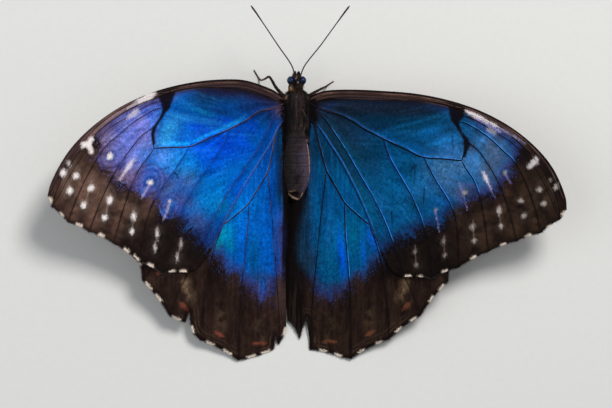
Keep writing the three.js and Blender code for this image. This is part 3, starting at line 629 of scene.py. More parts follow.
def costa_bands(f, base, side, width=2.1):
    """The brown leading band, with dark grooves and pinkish ridges whose brightness is partly a painted highlight."""
    d = f["costa"] + 0.12 * (fbm(f["u"] * 0.5, f["v"] * 0.5, 5) - 0.5)
    warm = lin(78, 57, 56) if side < 0 else lin(86, 64, 58)
    dusk = lin(34, 24, 25) if side < 0 else lin(30, 21, 20)
    night = lin(19, 13, 13)
    band = mix(dusk, warm, 0.8 * bump(d, 0.85, 0.28) + 0.5 * bump(d, 1.55, 0.22))
    band = mix(band, night, clamp(0.95 * bump(d, 0.12, 0.3) + 0.65 * bump(d, 1.22, 0.14) + 0.6 * bump(d, 1.95, 0.2), 0, 1))
    band = mix(band, mix(dusk, warm, 0.25) if side < 0 else lin(22, 15, 13), smooth(0.66, 0.85, f["costa_at"]))
    if side < 0 and width > 1.5:
        band = mix(band, lin(150, 122, 120), 0.7 * bump(d, 0.9, 0.7) * np.exp(-((f["u"] - 43.5) / 5.6) ** 2))
        band = mix(band, lin(122, 98, 98), 0.55 * smooth(0.5, 1.3, d) * np.exp(-((f["u"] - 48.0) / 2.6) ** 2))
    return mix(base, band, smooth(width + 0.25, width - 0.25, d) * smooth(1.0, 0.93, f["costa_at"]))


def paint_fore(side, f):
    u, v, cell, d1 = f["u"], f["v"], f["cell"], f["d1"]
    Cu, R = f["D"]["Cu"], f["D"]["R"]
    angle = np.arctan2(v + 9, u + 5)
    far = np.hypot(u + 5, v + 9)
    grain = fbm(angle * 46, far * 0.16, 3, 3)
    patch = fbm(u * 0.16, v * 0.16, 11, 3)
    fine = fbm(angle * 120, far * 0.5, 23, 2)
    edge = inside(u, v, BLUE_FORE[side])
    under_band = -R            # distance behind the R vein
    # The two wings share one blue. The left is painted brighter, with cyan highlights and a violet outer part, and the
    # right darker and tealer: painted light, shade and reflection.
    if side < 0:
        c = mix(lin(1, 72, 168), lin(4, 104, 200), smooth(0.25, 0.75, patch))
        c = mix(c, lin(0, 62, 140), 0.75 * smooth(13, 2, far - 9))
        c = mix(c, lin(40, 92, 128), 0.45 * blob(f, 21, -1.4, 7, 1.6, -0.05))
        c = mix(c, lin(8, 92, 150), 0.55 * blob(f, 23, -2.6, 5, 1.8))
        c = mix(c, lin(34, 132, 208), 0.8 * blob(f, 26.5, -6.2, 5.2, 0.95, 0.2))
        c = mix(c, lin(18, 148, 214), 0.8 * blob(f, 20.5, -5.0, 4.0, 0.6, 0.25))
        c = mix(c, lin(0, 66, 220), 0.8 * blob(f, 15.5, -6.6, 3.6, 0.9, 0.32) + 0.85 * blob(f, 22, -8.6, 3.6, 1.1, 0.3))
        # a bright cyan line and lighter band on the costal side of the Cu vein: painted highlight
        c = mix(c, lin(22, 156, 226), 0.9 * bump(Cu, 0.85, 0.5) * smooth(9, 14, u) * smooth(33.5, 31, u))
        c = mix(c, lin(26, 112, 206), 0.5 * bump(Cu, 2.2, 0.9) * smooth(14, 20, u) * smooth(33, 29, u))
        c = mix(c, lin(50, 164, 232), 0.85 * blob(f, 29.8, -8.8, 2.2, 2.8, 0.5) + 0.5 * blob(f, 31.0, -11.6, 1.6, 1.2))
        c = mix(c, lin(4, 86, 166), 0.6 * blob(f, 27.4, -3.6, 2.4, 2.0) + 0.5 * blob(f, 18.0, -3.4, 4.0, 0.8, 0.1))
        c = mix(c, lin(2, 84, 232), 0.85 * blob(f, 20.5, -14.4, 6.5, 2.6, 0.5) + 0.55 * blob(f, 12.0, -10.8, 4.5, 1.5, 0.6))
        c = mix(c, lin(0, 98, 158), 0.6 * blob(f, 11.6, -17, 3.6, 3.0) + 0.55 * blob(f, 24.2, -18.5, 4.2, 2.8, 0.6) + 0.5 * blob(f, 17, -26.4, 4.0, 2.6) + 0.4 * blob(f, 6.5, -8.5, 2, 5, 0.4))
        c = mix(c, lin(44, 128, 224), 0.75 * blob(f, 28.6, -15.2, 3.2, 2.6))
        c = mix(c, lin(3, 118, 206), 0.6 * blob(f, 20, -25.5, 4.5, 3.6) + 0.45 * blob(f, 16, -21, 2.2, 5, 0.55))
        violet = mix(lin(96, 112, 206), lin(126, 138, 230), smooth(0.35, 0.8, grain))
        outer = smooth(32.2, 36.5, u + 0.16 * (v + 10)) * smooth(-26, -19, v)
        c = mix(c, violet, 0.92 * outer)
        c = mix(c, lin(50, 96, 205), 0.75 * blob(f, 35.2, -5.2, 2.6, 1.5, 0.3) + 0.5 * blob(f, 39.5, -8.8, 3.0, 0.8, 0.75))
        c = mix(c, lin(140, 134, 216), 0.75 * blob(f, 35.6, -10.6, 1.7, 1.6) + 0.6 * blob(f, 37.6, -7.6, 1.5, 1.2))
        c = mix(c, lin(64, 128, 222), 0.75 * blob(f, 36.2, -14.2, 1.5, 3.2, 0.35))
        c = mix(c, lin(86, 140, 236), 0.75 * blob(f, 31.4, -15.0, 2.2, 2.2) + 0.6 * blob(f, 33.6, -8.6, 1.0, 3.6, 0.15))
        c = mix(c, lin(34, 128, 214), 0.75 * blob(f, 27.0, -17.4, 2.6, 2.0, 0.3))
        c = mix(c, lin(14, 122, 220), 0.7 * blob(f, 24.4, -16.0, 2.4, 1.8, 0.3))
        c = mix(c, lin(10, 62, 128), 0.7 * blob(f, 17.4, -4.6, 3.0, 0.9, 0.2) + 0.55 * blob(f, 11.6, -3.2, 3.0, 1.2, 0.2))
        c = mix(c, lin(2, 122, 206), 0.6 * blob(f, 18.0, -26.0, 2.6, 2.4))
        c = mix(c, lin(26, 58, 108), 0.85 * blob(f, 18.4, -31.6, 2.2, 2.6, 0.4))
        c = mix(c, lin(128, 142, 232), 0.75 * blob(f, 39.4, -9.2, 2.2, 1.5, 0.5))
        c = mix(c, lin(134, 122, 170), 0.7 * blob(f, 45.2, -8.8, 1.6, 1.2, 0.7))
        c = mix(c, lin(10, 72, 122), 0.75 * smooth(6.5, 3.2, f["costa"]) * smooth(8, 15, u) * smooth(26, 22, u))
        c = mix(c, lin(0, 66, 222), 0.6 * blob(f, 16.5, -12.0, 5.5, 2.6, 0.55) + 0.4 * blob(f, 9.0, -7.6, 4.0, 1.8, 0.6))
        c = mix(c, lin(96, 104, 160), 0.7 * blob(f, 29.6, -21.6, 2.4, 2.6) + 0.45 * blob(f, 24.4, -20.6, 2.4, 2.2))
        c = mix(c, lin(168, 170, 232), 0.7 * blob(f, 38.2, -5.4, 2.4, 0.9, 0.6) + 0.55 * blob(f, 41.6, -7.2, 2.2, 0.9, 0.7))
        c = mix(c, lin(150, 146, 214), 0.55 * blob(f, 38.4, -16.2, 1.3, 1.9, 0.5))
        c = mix(c, lin(50, 62, 150), 0.55 * smooth(5.0, 1.0, edge) * smooth(30, 34, u) * smooth(2.0, 4.0, f["costa"]))
        c = mix(c, lin(86, 78, 142), 0.82 * smooth(3.0, 0.2, edge) * smooth(27, 31, u))
        c = mix(c, lin(30, 52, 118), 0.8 * smooth(3.6, 0.4, edge) * smooth(30, 26, u) * smooth(-20, -26, v))
        c = mix(c, lin(52, 88, 168), 0.5 * smooth(16, 27, -v) * smooth(23, 29, u) * smooth(33, 29, u))
        c = mix(c, lin(140, 120, 142), 0.7 * blob(f, 45.2, -11.8, 2.6, 3.6, 0.45))
        c = mix(c, lin(122, 98, 110), 0.78 * blob(f, 44.0, -17.6, 2.6, 3.0, 0.5) + 0.7 * blob(f, 40.4, -20.0, 2.6, 2.2, 0.3))
        # rings shining through from the eyespots beneath
        for (a, b), R0, amt in (((43.5, -15.1), 3.6, 0.95), ((33.7, -20.8), 3.85, 0.95), ((28.0, -26.4), 3.0, 0.75)):
            q = np.hypot((u - a) * 1.02, v - b) / R0
            body_ = smooth(1.02, 0.9, q)
            q = q + 0.16 * (fbm(u * 0.9, v * 0.9, 19, 2) - 0.5)
            faint = 0.45 + 0.75 * fbm(u * 0.5, v * 0.5, 29, 2)
            c = mix(c, lin(58, 92, 186), (0.45 if a < 40 else 0.12) * amt * body_)
            c = mix(c, lin(50, 112, 212), (0.5 if a < 40 else 0.2) * amt * smooth(0.62, 0.3, q))
            c = mix(c, lin(34, 40, 118), amt * faint * (0.7 * bump(q, 0.3, 0.12) + 0.5 * bump(q, 0.74, 0.07)))
            c = mix(c, lin(118, 116, 204), amt * faint * (0.3 * bump(q, 0.56, 0.08) + 0.36 * bump(q, 0.88, 0.06)))
            c = mix(c, lin(66, 46, 96), amt * faint * 0.85 * bump(q, 1.0, 0.06))
            edge = np.where(q < 1.0, np.maximum(edge, (1.0 - q) * 2.2 * (amt > 0.8)), edge)
        c = mix(c, lin(28, 38, 84), 0.85 * smooth(4.4, 2.3, f["costa"]) * smooth(27, 20, u))
        c = mix(c, lin(30, 44, 78), 0.8 * smooth(6.5, 2.0, np.hypot(u, v + 2)))
        navy = lin(40, 36, 60)
        c = mix(c, navy, 0.92 * smooth(3.4, 0.4, under_band) * smooth(26, 16, u) * smooth(-0.5, 1.5, u))
        c = mix(c, lin(30, 52, 108), 0.5 * smooth(7.5, 2.5, under_band) * smooth(18, 8, u))
        c = gain(c, clamp(blob(f, 22, -17.5, 6.5, 5.5) + 0.8 * blob(f, 15, -23, 4.5, 4, 0.4) + 0.7 * blob(f, 25.5, -12.5, 3, 2.5), 0, 1), 0.8, 1.45, 1.28)
        c = gain(c, 0.9 * blob(f, 10.5, -21, 3.2, 5.5, 0.4) + 0.6 * blob(f, 11, -14.5, 3.5, 3), 0.7, 1.3, 1.5)
        c = gain(c, 0.9 * blob(f, 29.5, -16.5, 2.6, 5.0), 1.5, 1.4, 1.3)
        c = gain(c, smooth(27, 21, u) * smooth(1.5, 4.0, u) * smooth(-9.5, -4.5, v), 0.6, 0.52, 0.54)
        c = mix(c, lin(128, 106, 138), 0.65 * blob(f, 37.6, -19.2, 2.0, 2.8, 0.3) + 0.4 * blob(f, 35.6, -12.2, 2.4, 1.6))
        c = mix(c, lin(10, 124, 196), 0.5 * blob(f, 16.0, -26.0, 2.2, 2.0, 0.4))
        c = mix(c, lin(74, 78, 120), 0.6 * blob(f, 24.5, -25.0, 2.8, 1.6, 0.5) + 0.55 * blob(f, 21.0, -29.6, 2.4, 2.0, 0.6))
        shade, shine = lin(0, 44, 120), lin(40, 140, 232)
    else:
        c = mix(lin(2, 72, 120), lin(8, 92, 150), smooth(0.25, 0.75, patch))
        c = mix(c, lin(2, 56, 92), 0.75 * smooth(-0.6, 1.6, Cu) * smooth(31, 26, u))
        c = mix(c, lin(18, 38, 58), 0.92 * smooth(21, 11, far + 0.4 * (v + 6)))
        c = mix(c, lin(20, 34, 50), 0.92 * smooth(7.6, 2.8, f["costa"]) * smooth(31, 22, u))
        c = mix(c, lin(17, 34, 54), 0.9 * smooth(5.2, 1.6, under_band) * smooth(27, 14, u))
        c = mix(c, lin(19, 36, 56), 0.75 * smooth(3.2, 0.6, under_band) * smooth(31, 27, u))
        c = mix(c, lin(4, 92, 156), 0.8 * blob(f, 24.5, -6.6, 6.0, 1.5, 0.32) + 0.75 * blob(f, 29.4, -9.0, 2.6, 2.4, 0.3))
        c = mix(c, lin(16, 124, 204), 0.75 * blob(f, 28.6, -8.6, 3.4, 0.55, 0.32) + 0.6 * blob(f, 22.5, -6.9, 3.4, 0.4, 0.36) + 0.6 * blob(f, 21.0, -4.6, 4.2, 0.35, 0.3))
        c = mix(c, lin(52, 108, 172), 0.7 * blob(f, 30.6, -10.9, 1.6, 1.6))
        c = mix(c, lin(4, 88, 156), 0.6 * bump(Cu, 1.3, 1.0) * smooth(10, 18, u))
        # a thin bright line beside the Cu vein: painted highlight
        c = mix(c, lin(24, 112, 204), 0.6 * bump(Cu, 0.45, 0.22) * smooth(4, 12, u) * smooth(33, 29, u))
        c = mix(c, lin(1, 54, 82), 0.75 * blob(f, 14.0, -10.5, 5.0, 2.4, 0.55) + 0.5 * blob(f, 21, -15.4, 4, 3, 0.6))
        c = mix(c, lin(54, 112, 164), 0.75 * blob(f, 28.2, -15.4, 3.4, 3.0))
        c = mix(c, lin(4, 76, 122), 0.55 * blob(f, 12, -18, 2.6, 5, 0.55) + 0.5 * blob(f, 18, -25, 3, 5, 0.5))
        c = mix(c, lin(0, 84, 116), 0.45 * blob(f, 7.5, -12.5, 1.5, 6, 0.55) + 0.45 * blob(f, 12.8, -23.5, 1.2, 6, 0.5))
        c = mix(c, lin(26, 92, 152), 0.6 * blob(f, 25, -20.4, 4.2, 2.4, 0.4) + 0.4 * blob(f, 30, -20, 3, 3))
        c = mix(c, lin(14, 92, 170), 0.7 * blob(f, 30.6, -24.0, 2.0, 3.0, 0.25))
        c = mix(c, lin(46, 124, 196), 0.85 * blob(f, 36.4, -13.8, 1.5, 3.8, 0.4) + 0.85 * blob(f, 38.2, -7.6, 4.4, 1.0, 0.72))
        c = mix(c, lin(40, 132, 214), 0.35 * blob(f, 35.4, -4.6, 1.8, 1.1, 0.4) + 0.7 * blob(f, 41.8, -9.2, 3.4, 0.6, 0.82))
        c = mix(c, lin(22, 34, 54), 0.7 * blob(f, 34.8, -2.9, 1.0, 0.8) + 0.8 * blob(f, 35.6, -9.6, 0.8, 1.1, 0.4))
        c = mix(c, lin(52, 104, 160), 0.75 * blob(f, 40.6, -12.4, 1.4, 2.0, 0.4))
        c = mix(c, lin(50, 70, 102), 0.72 * blob(f, 41.2, -13.0, 2.6, 2.2, 0.5) + 0.5 * blob(f, 38.6, -16.0, 1.8, 2.2))
        c = mix(c, lin(64, 112, 164), 0.7 * blob(f, 33.4, -14.4, 2.4, 2.2) + 0.65 * blob(f, 30.0, -18.2, 2.4, 2.0))
        c = mix(c, lin(24, 120, 196), 0.6 * blob(f, 29.6, -8.8, 2.2, 1.8, 0.3))
        c = mix(c, lin(8, 42, 74), 0.75 * blob(f, 12.6, -5.8, 4.6, 2.0, 0.35))
        c = mix(c, lin(4, 66, 106), 0.7 * blob(f, 22.4, -5.2, 3.6, 1.6, 0.3))
        c = mix(c, lin(18, 98, 156), 0.75 * blob(f, 15.2, -24.0, 1.7, 3.4, 0.5))
        c = mix(c, lin(6, 52, 84), 0.6 * blob(f, 21.0, -7.2, 2.6, 1.2, 0.35) + 0.6 * blob(f, 29.8, -5.6, 2.0, 1.4) + 0.55 * blob(f, 36.0, -6.2, 1.8, 1.4, 0.5))
        c = mix(c, lin(46, 84, 124), 0.7 * blob(f, 39.6, -10.6, 1.8, 2.2, 0.5))
        c = mix(c, lin(26, 92, 146), 0.6 * blob(f, 24.0, -20.0, 2.6, 2.6))
        c = mix(c, lin(44, 56, 78), 0.6 * blob(f, 35.2, -10.4, 1.0, 1.6, 0.3) + 0.5 * blob(f, 41.8, -6.8, 2.4, 0.8, 0.75))
        c = mix(c, lin(48, 50, 112), 0.8 * smooth(3.0, 0.3, edge) * smooth(32, 37, u))
        c = mix(c, lin(16, 42, 74), 0.75 * smooth(4.2, 0.6, edge) * smooth(35, 31, u) * smooth(-22, -26, v))
        c = mix(c, lin(22, 58, 118), 0.6 * smooth(2.6, 0.3, edge) * smooth(34, 30, u))
        for (a, b), R0, amt in (((35.6, -21.2), 2.3, 0.75), ((43.6, -15.8), 1.7, 0.6)):
            q = np.hypot(u - a, v - b) / R0
            c = mix(c, lin(20, 30, 70), amt * smooth(1.2, 0.5, q))
            c = mix(c, lin(84, 76, 156), 0.6 * amt * bump(q, 1.0, 0.16))
        # a painted highlight on one side of these veins and painted shade on the other
        for nm, amt in (("CuA2", 1.0), ("2A", 1.0), ("CuA1", 0.55)):
            s = f["D"][nm]
            c = mix(c, lin(20, 100, 200), 0.45 * amt * bump(s, 0.35, 0.2) * smooth(9, 16, far) * smooth(0.6, 1.6, edge))
            c = mix(c, lin(6, 58, 116), 0.4 * amt * bump(s, -0.45, 0.3) * smooth(9, 16, far))
        c = gain(c, smooth(27, 19, u) * smooth(3.0, 6.5, u) * smooth(-8.5, -3.5, v), 0.88, 0.58, 0.5)
        c = gain(c, blob(f, 19, -9.6, 4.5, 1.8, 0.3), 0.8, 0.82, 0.78)
        c = gain(c, blob(f, 34.6, -3.4, 2.6, 2.0) + 0.6 * blob(f, 30.0, -5.0, 2.0, 2.0), 0.8, 0.55, 0.5)
        c = gain(c, blob(f, 4.6, -14.0, 2.0, 4.0), 0.9, 0.85, 0.72)
        c = mix(c, lin(8, 36, 58), 0.5 * blob(f, 1.6, -10.5, 1.6, 3.0))
        c = mix(c, lin(84, 98, 124), 0.55 * blob(f, 40.6, -9.6, 2.4, 3.6, 0.6) + 0.5 * blob(f, 39.6, -16.0, 2.2, 3.2, 0.4) + 0.45 * blob(f, 33.6, -20.6, 2.6, 1.8, 0.3))
        c = gain(c, clamp(blob(f, 20.5, -18.5, 6.0, 4.0) + 0.8 * blob(f, 10, -22, 4.0, 5.0, 0.4) + 0.6 * blob(f, 13, -27, 3, 4, 0.4), 0, 1), 0.85, 1.42, 1.36)
        c = c + (clamp(0.9 * blob(f, 34.5, -12.6, 6.5, 6.0) + 0.5 * blob(f, 29, -15, 3, 4), 0, 1))[..., None] * np.array([0.016, 0.022, 0.024])
        shade, shine = lin(0, 34, 62), lin(22, 120, 196)
    if side < 0:
        c = gain(c, blob(f, 30.4, -22.2, 2.2, 2.2), 1.05, 0.9, 0.68)
        c = gain(c, blob(f, 46.0, -14.2, 3.6, 2.0), 1.2, 1.0, 0.78)
        c = gain(c, blob(f, 14.5, -26.3, 2.0, 2.4), 1.25, 1.28, 1.06)
    else:
        c = gain(c, blob(f, 23.4, -24.4, 2.2, 2.2), 0.95, 0.78, 0.68)
        c = gain(c, blob(f, 25.6, -2.7, 2.6, 1.6), 0.9, 0.8, 0.68)
    calm = (0.35 + 0.65 * smooth(9, 20, far)) * (1 - 0.75 * smooth(-8, -4, v) * smooth(24, 15, u))
    c = mix(c, shade, 0.3 * smooth(0.4, 0.0, cell) + (0.3 if side < 0 else 0.2) * calm * smooth(0.55, 0.2, grain))
    c = mix(c, shine, (0.32 if side < 0 else 0.2) * calm * smooth(0.52, 0.9, grain) * smooth(0.2, 0.8, cell))
    c = c * (1 + 0.32 * (fine - 0.5) * calm)[..., None]
    worn = smooth(0.5, 0.78, fbm(u * 1.7, v * 1.7, 49, 3)) * (0.35 + 0.65 * smooth(-6, -14, v)) * smooth(0.3, 0.6, fbm(u * 0.25, v * 0.25, 51, 2) + 0.15)
    c = c * (1 - (0.3 if side < 0 else 0.34) * worn)[..., None]
    if side > 0:
        c = mix(c, lin(17, 19, 27), 0.9 * smooth(4.4, 1.9, f["costa"]) * smooth(31, 19, u))
        c = mix(c, lin(22, 34, 52), 0.5 * smooth(6.5, 3.5, f["costa"]) * smooth(27, 15, u))
    else:
        c = mix(c, lin(22, 30, 62), 0.6 * smooth(3.8, 2.0, f["costa"]) * smooth(27, 15, u))
    inner_edge, _, _ = to_line(u, v, spline(FORE_INNER, 60))
    # a bright line along the fore wing's inner edge: painted highlight
    c = mix(c, lin(36, 124, 216) if side > 0 else lin(60, 104, 176), 0.7 * bump(inner_edge, 0.4, 0.14) * smooth(33, 28, -v) * smooth(5, 9, -v))
    c = mix(c, lin(30, 26, 44) if side > 0 else lin(70, 54, 84), 0.8 * smooth(0.24, 0.06, inner_edge))
    rag = smooth(2.2, 6.5, f["costa"]) * smooth(-1.0, 1.0, 30 - u) + smooth(29, 31, u) * smooth(2.0, 4.0, f["costa"])
    rag = clamp(rag, 0.06, 1)
    run = fbm(angle * 38, far * 0.13, 37, 3)
    edge = edge + rag * (3.4 * (run - 0.5) + 1.6 * (fbm(u * 0.6, v * 0.6, 39, 2) - 0.5))
    # the brown border
    if side < 0:
        light, mid, line, deep = lin(104, 78, 67), lin(62, 44, 38), lin(18, 12, 12), lin(18, 12, 11)
    else:
        light, mid, line, deep = lin(54, 40, 31), lin(34, 23, 17), lin(11, 8, 8), lin(10, 6, 6)
    streak = fbm(angle * 60, far * 0.22, 31, 2)
    k = mix(mid, light, clamp(smooth(0.75, 0.15, cell) * (0.35 + 0.75 * streak), 0, 1) * smooth(0.0, 2.4, f["rim"]))
    k = mix(k, line, 0.55 * smooth(0.72, 0.95, cell) * smooth(0.3, 1.2, f["rim"]))
    k = mix(k, line, ((0.6 if side < 0 else 0.45) * smooth(0.34, 0.12, d1) + 0.24 * smooth(0.8, 0.3, d1)) * (0.5 + 0.5 * smooth(0.32, 0.6, fbm(u * 0.5 + 3, v * 0.5, 143, 2))))
    if side > 0:
        k = gain(k, blob(f, 40.5, -19.6, 5.0, 2.6), 1.5, 1.2, 1.12)
    blotch = fbm(u * 0.42 + 9, v * 0.5, 141, 3)
    k = mix(k, deep, 0.6 * smooth(0.48, 0.3, blotch) * smooth(0.5, 1.5, f["rim"]))
    if side < 0:
        k = mix(k, deep, 0.72 * smooth(-28, -34, v) * smooth(45, 38, u))
        k = mix(k, light, 0.6 * blob(f, 47.5, -22.5, 4.0, 3.4, 0.6) + 0.4 * blob(f, 54.5, -20.5, 2.2, 3.0))
        k = k * (1 - 0.42 * smooth(-27, -31, v) * smooth(44, 37, u))[..., None]
        k = mix(k, lin(16, 10, 10), 0.55 * bump(f["rim"], 3.1, 0.5) * smooth(46, 36, u) + 0.35 * bump(f["rim"], 1.5, 0.3) * smooth(50, 40, u))
    k = mix(k, deep, 0.9 * smooth(40, 29, u + 0.35 * (v + 30)))
    k = mix(k, deep, 0.8 * smooth(0.2, 2.6, 3.2 + edge) * smooth(34, 38, u))
    k = mix(k, mid, 0.55 * bump(f["rim"], 2.2, 0.7) * (0.15 + 0.85 * smooth(37, 44, u)) * (1 if side < 0 else 0.5))
    k = mix(k, deep, 0.65 * smooth(1.1, 0.2, f["rim"]))
    k = mix(k, lin(58, 42, 34) if side < 0 else lin(34, 24, 18), 0.8 * blob(f, 49.5, -16.2, 3.4, 2.6, 0.4))
    k = mix(k, lin(18, 12, 11), 0.8 * blob(f, 46.6, -11.2, 1.4, 2.6, 0.6))
    k = k * (0.8 + 0.4 * fbm(u * 1.3, v * 1.3, 41, 2))[..., None]
    # the dark bar across the end of the cell
    if side < 0:
        bar = inside(u, v, [[28.9, 1.2], [29.3, -1.2], [30.1, -4.0], [31.2, -5.3], [32.3, -7.2], [33.15, -8.8], [33.35, -10.2], [32.9, -12.2], [33.5, -12.3], [34.1, -10.1], [33.95, -8.5], [32.9, -6.8], [31.9, -4.9], [32.1, -3.5], [32.9, -1.9], [33.4, 0.6]])
    else:
        bar = inside(u, v, [[28.9, 1.2], [29.4, -1.5], [29.9, -3.5], [31.1, -5.0], [32.6, -6.7], [33.3, -8.2], [33.5, -10.3], [33.5, -12.4], [34.1, -12.3], [34.4, -10.6], [34.9, -9.4], [34.2, -7.9], [33.0, -6.4], [31.9, -4.7], [32.0, -3.7], [32.7, -3.0], [32.9, -1.6], [33.2, 0.6]])
    spot = np.full(u.shape, -9.0)
    pstr = np.zeros(u.shape)
    pale = np.zeros(u.shape + (3,)) + lin(226, 214, 204)
    white, mauve, cream = lin(232, 224, 222), lin(150, 140, 218), lin(238, 220, 202)

    def add(sd, strength, colour):
        nonlocal spot, pstr, pale
        take = sd > spot
        pstr = np.where(take, strength, pstr)
        pale = np.where(take[..., None], colour, pale)
        spot = np.maximum(spot, sd)
    halo = np.zeros(u.shape)
    for a, b, w, ln, lean, st in FORE_SPOTS[side]:
        w, ln = w * (0.84 if side < 0 else 0.7), ln * (0.8 if side < 0 else 0.7)
        if side < 0 and b < -30 and a < 34:
            w, st = w * 0.78, st * 0.86
        st = st * (1.0 if side < 0 else 0.72)
        pinch = 1 + 0.35 * smooth(0, -1, (v - b) / ln) + 0.5 * (fbm(u * 1.4 + a, v * 1.4 + b, 45, 2) - 0.5)
        sd = oval(u, v, (a, b), w, ln, -lean) - 0.22 * (pinch - 1) - 0.12 * bump(cell, 1.0, 0.08)
        add(sd, st, white if side < 0 or st > 0.7 else lin(196, 186, 178))
        halo = np.maximum(halo, st * np.exp(-((u - a) ** 2 + ((v - b - 0.4) / 1.3) ** 2) / 2.2))
    k = mix(k, lin(138, 120, 110) if side < 0 else lin(92, 76, 66), (0.42 if side > 0 else 0.16 + 0.26 * smooth(-31, -25, v)) * halo * smooth(0.2, 0.7, fbm(u * 0.9, v * 0.9, 47, 2)))
    rows = FORE_SPOTS[side]
    for p_, q_ in ((1, 8), (2, 9), (3, 10), (4, 11), (5, 12)) if side < 0 else ((2, 10), (3, 11), (4, 12), (5, 13)):
        th = stroke(u, v, [[rows[p_][0], rows[p_][1] + 1.6], [rows[q_][0], rows[q_][1] - 0.6]], 0.1, 0.1)
        k = mix(k, lin(150, 130, 120) if side < 0 else lin(110, 92, 84), 0.4 * smooth(-0.14, 0.08, th))
    for pts, r0, r1, st, vi, belly in FORE_STROKES[side]:
        add(stroke(u, v, pts, r0, r1, belly), st, mix(white, mauve, vi))
    add(dashes(f, FORE_DASHES + ([[35.4, -38.3]] if side < 0 else []), 0.85 if side < 0 else 0.68, 0.42 if side < 0 else 0.25), 1.0, cream)
    dark = costa_bands(f, k, side)
    edge = np.minimum(edge, 1.3 * (f["costa"] - 2.0 + 0.35 * smooth(30, 45, u)))
    bar = bar + 0.35 * (fbm(u * 1.1, v * 0.5, 43, 2) - 0.5)
    shut = smooth(-0.3, 0.22, bar)
    c = mix(c, lin(14, 10, 16), 0.97 * shut)
    dark = mix(dark, lin(14, 9, 12), shut * smooth(1.0, 1.7, f["costa"]))
    # worn marks
    marks = {1: [[[22.5, -14.6], [22.9, -17.2], [22.7, -19.2]], [[22.2, -15.0], [21.6, -17.0]], [[30.6, -7.4], [31.0, -10.5]], [[18.3, -25.8], [18.7, -29.4]], [[25.3, -20.3], [25.4, -24.9]]],
             -1: [[[26.3, -17.6], [26.9, -19.4]], [[27.6, -18.6], [26.6, -20.0]], [[9.0, -7.9], [9.9, -9.2]], [[17.5, -6.3], [18.4, -6.9]]]}[side]
    for m in marks:
        c = mix(c, lin(8, 22, 50), 0.8 * smooth(-0.14, 0.1, stroke(u, v, m, 0.16, 0.05)))
    return dict(tint=c, dark=dark, edge=edge, spot=spot, pale=pale, pstr=pstr, rag=rag, bar=shut)


